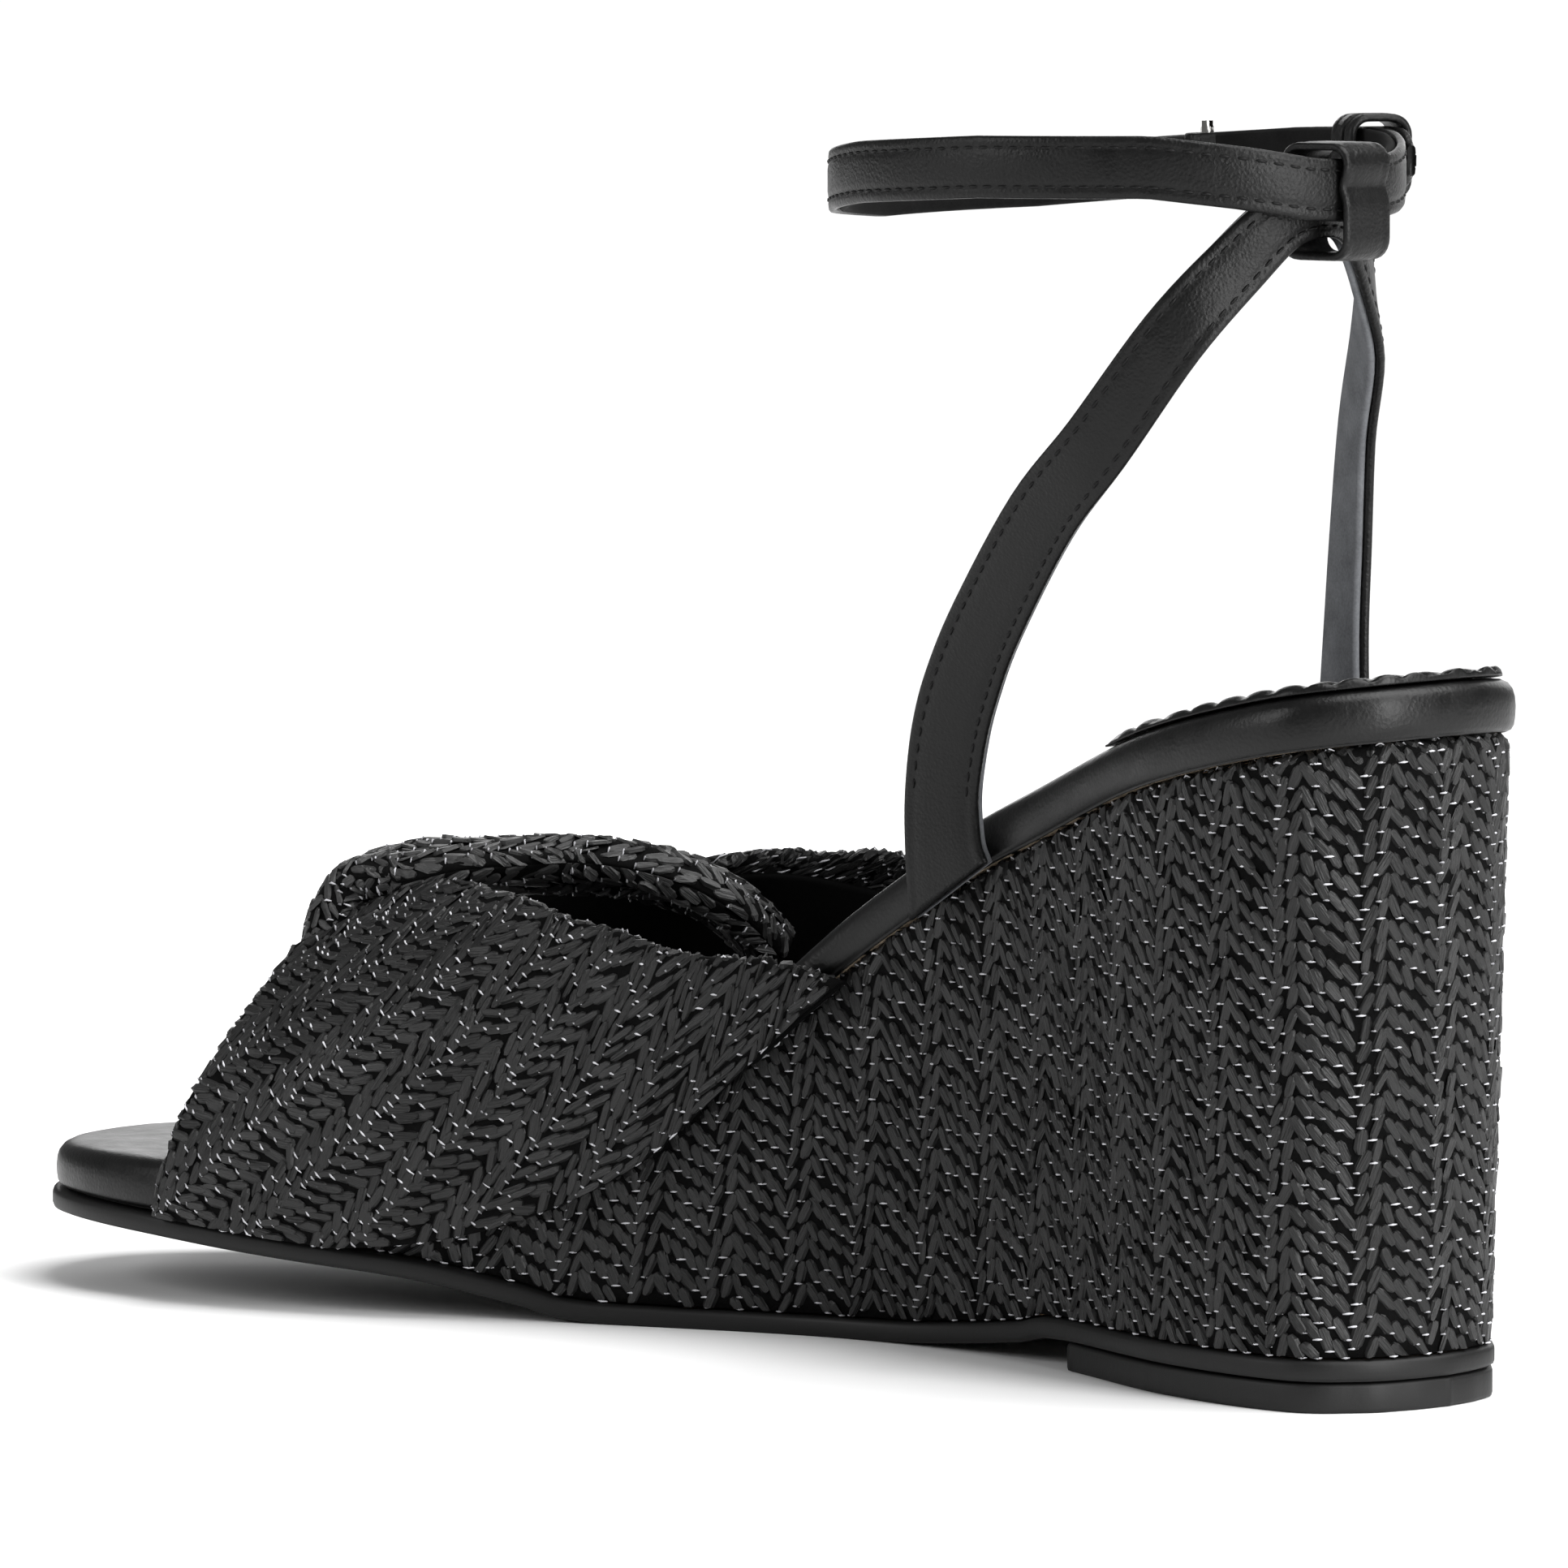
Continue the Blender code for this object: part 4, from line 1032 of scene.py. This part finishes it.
def girths(marks, medial, spacing=3.0):
    """How far round the last from the vamp's lower edge each mark is."""
    stations = np.arange(96, 216, spacing)
    heights = np.linspace(0, 2, 41)
    rows = [distances(np.array([last_point(x, h, medial) for h in heights])) for x in stations]
    found = np.zeros(marks.shape[:2])
    for i, row in enumerate(marks):
        for j, (x, height) in enumerate(row):
            place = np.clip((x - stations[0]) / spacing, 0, len(stations) - 1.001)
            k = int(place)
            low, high = (np.interp(height, heights, rows[n]) for n in (k, k + 1))
            found[i, j] = mixed(low, high, place - k)
    return found


def gathered(grid, normals):
    """Raises small folds that run out from the knot's pit."""
    reach = grid - PIT
    angle = np.arctan2(reach[..., 2], reach[..., 0])
    near = np.exp(-((np.linalg.norm(reach, axis=2) / FOLD_REACH) ** 2))
    height = FOLD_HEIGHT * near * np.cos(FOLD_COUNT * angle)
    return grid + normals * height[..., None]


def with_rolled_ends(grid, flat, normals, radius=EDGE_ROLL):
    """Adds a rolled edge at the first and last rows of a grid, turned under the cloth."""
    parts = []
    for end, step in ((0, 1), (-1, -1)):
        edge, out = grid[end], normals[end]
        into = unit(grid[end + step] - edge)
        away = unit(flat[end] - flat[end + step])
        rows, places = [], []
        for turn in np.radians(np.arange(20, 181, 20)):
            rows.append(edge - (out * (1 - math.cos(turn)) + into * math.sin(turn)) * radius)
            places.append(flat[end] + away * radius * turn)
        under = places[-1]
        for k in range(end + step, end + 10 * step, 2 * step):
            rows.append(grid[k] - normals[k] * 2 * radius)
            places.append(under + away * np.linalg.norm(grid[k] - edge, axis=1)[:, None])
        parts.append((rows, places))
    (first, first_flat), (last, last_flat) = parts
    return (
        np.concatenate([first[::-1], grid, last]),
        np.concatenate([first_flat[::-1], flat, last_flat]),
    )


def make_vamp(looks, rng):
    bands = (
        ("medial", MEDIAL_REAR, MEDIAL_FRONT, True),
        ("lateral", LATERAL_REAR, LATERAL_FRONT, False),
    )
    for side, rear, front, medial in bands:
        marks = vamp_marks(rear, front, True, 64, 56)
        last = on_last(marks, medial)
        normals = grid_normals(last, under_foot)
        outer = gathered(last + normals * VAMP_OUT, normals)
        flat = np.dstack([marks[..., 0], girths(marks, medial)])
        normals = grid_normals(outer, under_foot)
        outer, flat = with_rolled_ends(outer, flat, normals)
        make_band(side, outer, flat, medial, looks, rng)
        lining_marks = vamp_marks(rear[2:], front[2:], False, 40, 32, 0.05)
        inner = on_last(lining_marks, medial)
        normals = grid_normals(inner, under_foot)
        inner = inner - normals * VAMP_LINING_SINK
        lining = ground(f"vamp_lining_cloth_{side}", inner, normals, VAMP_LINING_WALL)
        finish_piece(lining, looks["vamp_lining"], "sandal",
                     [f"vamp_lining_{side}"])
    make_knot(looks, rng)


def make_band(side, outer, flat, medial, looks, rng):
    """One woven band of the vamp: its ground cloth, leaves and cross threads."""
    normals = grid_normals(outer, under_foot)
    base = ground(f"vamp_ground_{side}", outer, normals)
    finish_piece(base, looks["ground"], "sandal", [f"vamp_{side}"])
    cloth = Cloth(outer, flat, normals)
    mirror = 1 if medial else -1
    right = (-mirror * math.cos(VAMP_LEAN), -mirror * math.sin(VAMP_LEAN))
    up = (-math.sin(VAMP_LEAN), math.cos(VAMP_LEAN))
    columns = [(mirror * a, drop, mirror * tilt) for a, drop, tilt in VAMP_WEAVE["columns"]]
    weave = {**VAMP_WEAVE, "columns": columns}
    names = (f"vamp_raffia_weave_{side}", f"vamp_cross_threads_{side}")
    make_weave(names, "raffia", looks, cloth, right, up, rng, weave)


def make_knot(looks, rng):
    """The gathered strand that crosses over the vamp."""
    path = smooth(STRAND_PATH, 8)
    stations = np.linspace(0, 1, len(STRAND_HALF_WIDTHS))
    widths = np.interp(np.linspace(0, 1, len(path)), stations, STRAND_HALF_WIDTHS)
    tangents = unit(np.gradient(path, axis=0))
    out = path - STRAND_INSIDE
    out = unit(out - np.sum(out * tangents, axis=1)[:, None] * tangents)
    across = np.cross(tangents, out)
    turns = np.linspace(0, 2 * math.pi, 49)
    along = distances(path)
    rows, places = [], []
    for i in range(len(path)):
        fold = 1 + 0.11 * np.cos(5 * turns + 0.13 * along[i]) + 0.07 * np.cos(8 * turns - 2)
        a = np.cos(turns) * (widths[i] - 0.3) * (0.9 + 0.1 * fold)
        b = np.sin(turns) * STRAND_HALF_THICKNESS * fold
        ring = path[i] + np.outer(a, across[i]) + np.outer(b, out[i])
        rows.append(ring)
        around = distances(ring)
        places.append(np.column_stack([around - around[-1] / 2, np.full(len(around), along[i])]))
    grid = np.array(rows)
    flat = np.array(places)
    normals = grid_normals(grid, lambda _: path[:, None])
    base = ground("vamp_knot_ground", grid, normals)
    finish_piece(base, looks["ground"], "sandal", ["vamp_knot"])
    cloth = Cloth(grid, flat, normals)
    around = grid[5, 13] - grid[5, 11]
    sign = 1 if np.dot(np.cross(around, tangents[5]), normals[5, 12]) > 0 else -1
    names = ("vamp_knot_weave", "vamp_knot_threads")
    up = (0, 1)
    # The knot's leaves take the raffia that is painted lighter, as painted light from above.
    make_weave(names, "knot_raffia_painted_light", looks, cloth, (sign, 0), up, rng, STRAND_WEAVE)


# ======== straps
def frames(points, normals, closed=False):
    """Unit tangents, normals square to them, and the directions across."""
    points = np.asarray(points, float)
    if closed:
        tangents = np.roll(points, -1, axis=0) - np.roll(points, 1, axis=0)
    else:
        tangents = np.gradient(points, axis=0)
    tangents = unit(tangents)
    normals = np.asarray(normals, float)
    normals = unit(normals - np.sum(normals * tangents, axis=1)[:, None] * tangents)
    return tangents, normals, np.cross(tangents, normals)


def leather_section(half, low, high, groove=0.12, crown=0.12):
    """A strap's closed section: (across, out), rounded at its edges, with two stitch grooves."""
    stitch = half - STITCH_FROM_EDGE
    right = [
        (half - 0.30, low), (half - 0.06, low + 0.22), (half, (low + high) / 2),
        (half - 0.06, high - 0.25), (half - 0.32, high - 0.04), (stitch + 0.5, high + 0.03),
        (stitch, high - groove), (stitch - 0.5, high + 0.04), (half * 0.35, high + crown),
    ]
    left = [(-side, out) for side, out in reversed(right)]
    return right + [(0, high + crown)] + left


def plain_section(half, low, high):
    """A thin layer's closed section with rounded edges."""
    edge = (high - low) * 0.3
    right = [(half - edge, low), (half, low + edge), (half, high - edge), (half - edge, high)]
    return right + [(-side, out) for side, out in reversed(right)]


def sweep(name, points, normals, sections, closed=False, slants=None):
    """A closed solid swept along the points; a slant moves a section's sides along the path."""
    points = np.asarray(points, float)
    tangents, normals, across = frames(points, normals, closed)
    if slants is None:
        slants = np.zeros(len(points))
    sides_moved = across + tangents * np.asarray(slants)[:, None]
    size = len(sections[0])
    rows = []
    for point, normal, side, section in zip(points, normals, sides_moved, sections):
        rows.extend(point + side * a + normal * b for a, b in section)
    faces = grid_faces(len(points), size, closed_rows=closed, closed_columns=True)
    if not closed:
        faces.append(tuple(range(size)))
        faces.append(tuple(range((len(points) - 1) * size, len(points) * size)))
    return face_out(add_object(name, rows, faces))


# A stitch's rings: (place along its half length, share of its radius, rise).
STITCH_RINGS = [
    (-1.0, 0.35, -0.16), (-0.6, 0.85, 0.02), (0.0, 1.0, 0.07), (0.6, 0.85, 0.02),
    (1.0, 0.35, -0.16),
]
STITCH_RADIUS = 0.21


def add_stitch(pile, centre, direction, normal, tone):
    """One raised stitch, with its ends sunk into the leather."""
    side = np.cross(direction, normal)
    rows = []
    for along, swell, rise in STITCH_RINGS:
        middle = centre + direction * STITCH_LENGTH / 2 * along + normal * rise
        for turn in np.radians(np.arange(0, 360, 60)):
            round_it = side * math.cos(turn) + normal * math.sin(turn)
            rows.append(middle + round_it * STITCH_RADIUS * swell)
    faces = grid_faces(len(STITCH_RINGS), 6, closed_columns=True)
    faces += [(5, 4, 3, 2, 1, 0), tuple(range(len(rows) - 6, len(rows)))]
    pile.add(np.array(rows), faces, tone, np.zeros((len(rows), 3)))


def stitch_rows(pile, points, normals, halves, height, ends, rng):
    """Two rows of stitches along a strap, up to the given distances from its ends."""
    tangents, normals, across = frames(points, normals)
    along = distances(points)

    def at(values, spot):
        return np.array([np.interp(spot, along, column) for column in values.T])

    for spot in np.arange(ends[0], along[-1] - ends[1], STITCH_PITCH):
        for sign in (-1, 1):
            shift = spot + sign * 0.3
            tangent, normal, side = (unit(at(v, shift)) for v in (tangents, normals, across))
            from_middle = sign * (np.interp(shift, along, halves) - STITCH_FROM_EDGE)
            centre = at(points, shift) + side * from_middle + normal * height
            add_stitch(pile, centre, tangent, normal, rng.random())


def make_sling(looks, rng):
    points = smooth([row[0] for row in SLING_PATH], 6)
    halves = smooth([[row[1]] for row in SLING_PATH], 6)[:, 0] / 2
    normals = smooth([row[2] for row in SLING_PATH], 6)
    low, high = OUTER_LAYER
    sections = [leather_section(half, low - 0.05, high - 0.05) for half in halves]
    slants = BASE_SLANT * np.clip(1 - distances(points) / BASE_SLANT_REACH, 0, 1)
    outer = sweep("sling_strap_leather", points, normals, sections, slants=slants)
    finish_piece(outer, looks["strap"], "sandal", ["sling_strap_outer"])
    low, high = LINING_LAYER
    sections = [plain_section(half - 0.25, low + 0.15, high + 0.25) for half in halves]
    lining = sweep("sling_strap_suede", points, normals, sections, slants=slants)
    finish_piece(lining, looks["strap_lining"], "sandal", ["sling_strap_lining"])
    stitches = Pile()
    stitch_rows(stitches, points, normals, halves, OUTER_LAYER[1] - 0.12, SLING_STITCH_ENDS, rng)
    finish_piece(stitches.build("sling_stitches"), looks["stitch"], "sandal")


def ankle_frame(angle):
    """A point of the ankle ellipse at strap height, and the direction out from it."""
    turn = math.radians(angle)
    a, b = ANKLE_SEMI_AXES
    height = table(ANKLE_HEIGHT, angle % 360)
    point = np.array([
        ANKLE_CENTRE[0] + a * math.cos(turn), ANKLE_CENTRE[1] + b * math.sin(turn), height
    ])
    return point, unit(np.array([math.cos(turn) / a, math.sin(turn) / b, 0]))


def ankle_path(rows):
    """Points and outward directions of a strap given as (angle, distance out)."""
    points, normals = [], []
    for angle, out in rows:
        point, normal = ankle_frame(angle)
        points.append(point + normal * out)
        normals.append(normal)
    return np.array(points), np.array(normals)


def buckle_axes():
    """The buckle's centre and its unit axes: to the front of the shoe, up, and out."""
    point, out = ankle_frame(BUCKLE_ANGLE)
    return point, np.array([-out[1], out[0], 0]), np.array([0.0, 0.0, 1.0]), out


def buckle_point(forward_mm, up_mm, out_mm):
    point, forward, up, out = buckle_axes()
    return point + forward * forward_mm + up * up_mm + out * out_mm


def frame_point(forward_mm, up_mm):
    """A point in the buckle frame's own plane, rolled and tilted about the centre bar."""
    along = forward_mm * math.cos(FRAME_ROLL) + up_mm * math.sin(FRAME_ROLL)
    rise = up_mm * math.cos(FRAME_ROLL) - forward_mm * math.sin(FRAME_ROLL)
    return buckle_point(
        along * math.cos(FRAME_TILT), rise, BAR_OUT - along * math.sin(FRAME_TILT)
    )


def fold_path():
    """The strap's end: in along the chape, round the buckle's centre bar and back over it."""
    rows, normals = [], []
    for turn in np.radians(np.linspace(-90, 90, 15)):
        rows.append((math.cos(turn) * FOLD_RADIUS, BAR_OUT + math.sin(turn) * FOLD_RADIUS))
        normals.append((-math.cos(turn), -math.sin(turn)))
    rows.append((-2.6, BAR_OUT + FOLD_RADIUS - 0.1))
    normals.append((0, -1))
    points = [buckle_point(s, 0, q) for s, q in rows]
    _, forward, _, out = buckle_axes()
    return np.array(points), np.array([forward * s + out * q for s, q in normals])


def cut_slot(obj, slot):
    """Cuts a block between two corners in the buckle's axes out of the object."""
    low = np.array([*slot[0], -SLOT_WIDTH / 2])
    high = np.array([*slot[1], SLOT_WIDTH / 2])
    corners = np.array([(x, y, z) for x in (0, 1) for y in (0, 1) for z in (0, 1)])
    spots = low + corners * (high - low)
    points = [buckle_point(s, z, -q) for s, q, z in spots]
    faces = [(0, 1, 3, 2), (4, 6, 7, 5), (0, 4, 5, 1), (2, 3, 7, 6), (0, 2, 6, 4), (1, 5, 7, 3)]
    cutter = face_out(add_object("slot_cutter", points, faces, False))
    boolean(obj, cutter, "DIFFERENCE")


def tip_halves(points, half, taper):
    """Half widths of a strap whose start is rounded off over the distance taper."""
    reach = np.clip(distances(points) / taper, 0.02, 1)
    return half * np.sqrt(1 - (1 - reach) ** 2.2)


def make_ankle_strap(looks, rng):
    tail, tail_normals = ankle_path(smooth(TAIL_PATH, 4))
    angles = np.arange(LOOP_START_ANGLE, CHAPE_ANGLE + 1, 3)
    loop, loop_normals = ankle_path([(angle, 0.0) for angle in angles])
    fold, fold_normals = fold_path()
    middle = sum(OUTER_LAYER) / 2
    half_wall = (OUTER_LAYER[1] - OUTER_LAYER[0]) / 2 - 0.05
    points = np.vstack([tail + tail_normals * middle, loop + loop_normals * middle, fold])
    normals = np.vstack([tail_normals, loop_normals, fold_normals])
    halves = tip_halves(points, STRAP_WIDTH / 2, TIP_TAPER)
    sections = [leather_section(max(half, 2.0), -half_wall, half_wall) for half in halves]
    strap = sweep("ankle_strap_leather", points, normals, sections)
    rest, rest_normals = ankle_path([(angle, 0.0) for angle in (*angles, LINING_END_ANGLE)])
    inner = np.vstack([tail, rest])
    inner_normals = np.vstack([tail_normals, rest_normals])
    low, high = LINING_LAYER
    inner_halves = tip_halves(inner, STRAP_WIDTH / 2 - 0.2, TIP_TAPER)
    sections = [plain_section(max(half, 1.5), low, high + 0.25) for half in inner_halves]
    lining = sweep("ankle_strap_suede", inner, inner_normals, sections)
    for piece in (strap, lining):
        cut_slot(piece, TAIL_SLOT)
    cut_slot(strap, FOLD_SLOT)
    finish_piece(strap, looks["strap"], "sandal", ["ankle_strap_outer"])
    finish_piece(lining, looks["ankle_lining"], "sandal", ["ankle_strap_lining"])
    stitches = Pile()
    count = len(tail) + len(loop)
    points, normals, halves = points[:count], normals[:count], halves[:count]
    stitch_rows(stitches, points, normals, halves, half_wall - 0.07, ANKLE_STITCH_ENDS, rng)
    finish_piece(stitches.build("ankle_stitches"), looks["stitch"], "sandal")


def rounded_rectangle(half_a, half_b, radius, per_corner=7):
    rows = []
    for corner, (sign_a, sign_b) in enumerate(((1, 1), (-1, 1), (-1, -1), (1, -1))):
        for step in range(per_corner):
            turn = math.radians(90 * corner + 90 * step / (per_corner - 1))
            rows.append((
                sign_a * (half_a - radius) + radius * math.cos(turn),
                sign_b * (half_b - radius) + radius * math.sin(turn),
            ))
    return rows


def ring_points(angle, reach, heights, pinch=None):
    """A closed path round a strap, at the middle of a leather ring's wall."""
    point, out = ankle_frame(angle)
    reach_in, reach_out = reach
    low, high = heights
    centre = point + out * (reach_in + reach_out) / 2
    centre[2] = (low + high) / 2
    up = np.array([0.0, 0.0, 1.0])
    rows = rounded_rectangle(
        (reach_out - reach_in) / 2 + LOOP_WALL / 2, (high - low) / 2 + LOOP_WALL / 2, 2.3
    )
    path = evenly(np.array(rows + rows[:1]), 72)[:-1]
    if pinch is not None:
        height, depth, spread = pinch
        near = np.exp(-(((path[:, 1] + centre[2] - height) / spread) ** 2))
        path[:, 0] -= np.where(path[:, 0] > 0, near * depth, 0)
    spokes = np.array([out * a + up * b for a, b in path])
    return centre + spokes, spokes


def make_rings(looks):
    """The keeper of the strap's tail, and the loop that ties the two straps at the back."""
    height = ankle_frame(KEEPER_ANGLE)[0][2]
    heights = (height - KEEPER_HALF_HEIGHT, height + KEEPER_HALF_HEIGHT)
    points, normals = ring_points(KEEPER_ANGLE, KEEPER_REACH, heights)
    sections = [leather_section(3.0, -0.5, 0.5, 0.05, 0.06)] * len(points)
    keeper = sweep("strap_keeper_leather", points, normals, sections, closed=True)
    finish_piece(keeper, looks["loop"], "keeper", ["strap_keeper"])
    points, normals = ring_points(180, BACK_LOOP_REACH, BACK_LOOP_HEIGHTS, BACK_LOOP_PINCH)
    sections = [leather_section(4.4, -0.45, 0.5, 0.05, 0.1)] * len(points)
    back = sweep("back_loop_leather", points, normals, sections, closed=True)
    finish_piece(back, looks["loop"], "back_loop_body", ["back_loop"])


# ======== buckle
def tube(name, points, radii, closed=False, reference=(0.0, 0.0, 1.0), round_count=20):
    """A round wire with a radius at each point."""
    points = np.asarray(points, float)
    normals = np.tile(reference, (len(points), 1))
    turns = np.radians(np.arange(0, 360, 360 / round_count))
    sections = [[(math.cos(t) * r, math.sin(t) * r) for t in turns] for r in radii]
    return sweep(name, points, normals, sections, closed)


def make_buckle(looks):
    """The polished frame with its centre bar, and the prong that turns on the bar."""
    _, _, _, out = buckle_axes()
    outline = np.array(rounded_rectangle(FRAME_HALF_LENGTH, FRAME_HALF_HEIGHT, 1.3, 9))
    outline = evenly(np.vstack([outline, outline[:1]]), 120)[:-1]
    corners = [frame_point(a, b) for a, b in outline]
    bar_section = rounded_rectangle(0.95, 0.72, 0.32, 4)
    count = len(corners)
    frame = sweep("buckle_flat_frame", corners, [out] * count, [bar_section] * count, closed=True)
    bar = [buckle_point(0, side * FRAME_HALF_HEIGHT, BAR_OUT) for side in (-1, -0.3, 0.3, 1)]
    bar = tube("bar", bar, [WIRE_RADIUS * 0.9] * 4, reference=out)
    boolean(frame, bar, "UNION").data.shade_smooth()
    finish_piece(frame, looks["nickel"], "buckle", ["buckle_frame"])
    ring = [
        buckle_point(PRONG_RING_RADIUS * math.cos(t), 0, BAR_OUT + PRONG_RING_RADIUS * math.sin(t))
        for t in np.radians(np.arange(0, 360, 10))
    ]
    prong = tube("buckle_prong_wire", ring, [PRONG_RADIUS] * len(ring), True, round_count=14)
    rest_out = BAR_OUT - FRAME_HALF_LENGTH * math.sin(FRAME_TILT) + WIRE_RADIUS + PRONG_RADIUS + 0.3
    pin = smooth([
        buckle_point(1.9, 0, BAR_OUT + 0.3),
        buckle_point(6.0, 0, (BAR_OUT + rest_out) / 2 + 0.3),
        buckle_point(FRAME_HALF_LENGTH + 0.9, 0, rest_out),
    ], 6)
    radii = np.interp(np.arange(len(pin)), [0, 9, 11, 12], [0.6, 0.6, 0.52, 0.3])
    boolean(prong, tube("pin", pin, radii, round_count=14), "UNION").data.shade_smooth()
    finish_piece(prong, looks["prong"], "prong", ["buckle_prong"])


# ======== scene
def paint_inner_nodes(nodes, looks):
    """Materials of the CAD nodes that no piece replaces."""
    kept = {"wedge_core": "cork", "insole_board": "board", "shank": "steel", "footbed_foam": "foam"}
    for name, key in kept.items():
        nodes[name].data.materials.clear()
        nodes[name].data.materials.append(looks[key])


def aimed(name, data, place, direction):
    """Adds a camera or a light that looks along the direction."""
    obj = bpy.data.objects.new(name, data)
    obj.location = place
    obj.rotation_mode = "QUATERNION"
    obj.rotation_quaternion = Vector(direction).to_track_quat("-Z", "Y")
    bpy.context.scene.collection.objects.link(obj)
    return obj


def make_camera():
    camera = bpy.data.cameras.new("photo_camera")
    camera.lens = LENS
    camera.sensor_width = 36.0
    camera.clip_end = 60.0
    bpy.context.scene.camera = aimed("photo_camera", camera, CAMERA_PLACE, CAMERA_AIM)


def area_light(name, place, aim, size, power):
    light = bpy.data.lights.new(name, "AREA")
    light.shape = "RECTANGLE"
    light.size, light.size_y = size
    light.energy = power
    aimed(name, light, place, Vector(aim) - Vector(place))


def make_stage():
    """A pale floor, a dim white surround, a wide soft sun and three soft boxes."""
    scene = bpy.context.scene
    scene.view_settings.view_transform = "Standard"
    world = bpy.data.worlds.new("studio")
    world.use_nodes = True
    background = world.node_tree.nodes["Background"]
    background.inputs["Color"].default_value = (1, 1, 1, 1)
    background.inputs["Strength"].default_value = SURROUND_STRENGTH
    scene.world = world
    sun = bpy.data.lights.new("soft_sun", "SUN")
    sun.energy = SUN_POWER
    sun.angle = SUN_SPREAD
    aimed("soft_sun", sun, (0, 0, 0), SUN_DIRECTION)
    for box in SOFT_BOXES:
        area_light(*box)
    reach = FLOOR_HALF_WIDTH
    corners = [(-reach, -reach, 0), (reach, -reach, 0), (reach, reach, 0), (-reach, reach, 0)]
    mesh = bpy.data.meshes.new("floor")
    mesh.from_pydata(corners, [], [(0, 1, 2, 3)])
    floor = bpy.data.objects.new("floor", mesh)
    scene.collection.objects.link(floor)
    look = Look("pale_floor")
    cloud = look.noise(0.5, 2.0)
    mesh.materials.append(look.finish(look.shades(cloud, (0.3, 0.90), (0.7, 0.92)), 0.9))


def main():
    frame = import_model()
    rng = np.random.default_rng(SEED)
    looks = make_looks()
    paint_inner_nodes(frame["nodes"], looks)
    make_sole(looks)
    make_wedge(looks, rng)
    make_vamp(looks, rng)
    make_sling(looks, rng)
    make_ankle_strap(looks, rng)
    make_rings(looks)
    make_buckle(looks)
    make_camera()
    make_stage()


main()
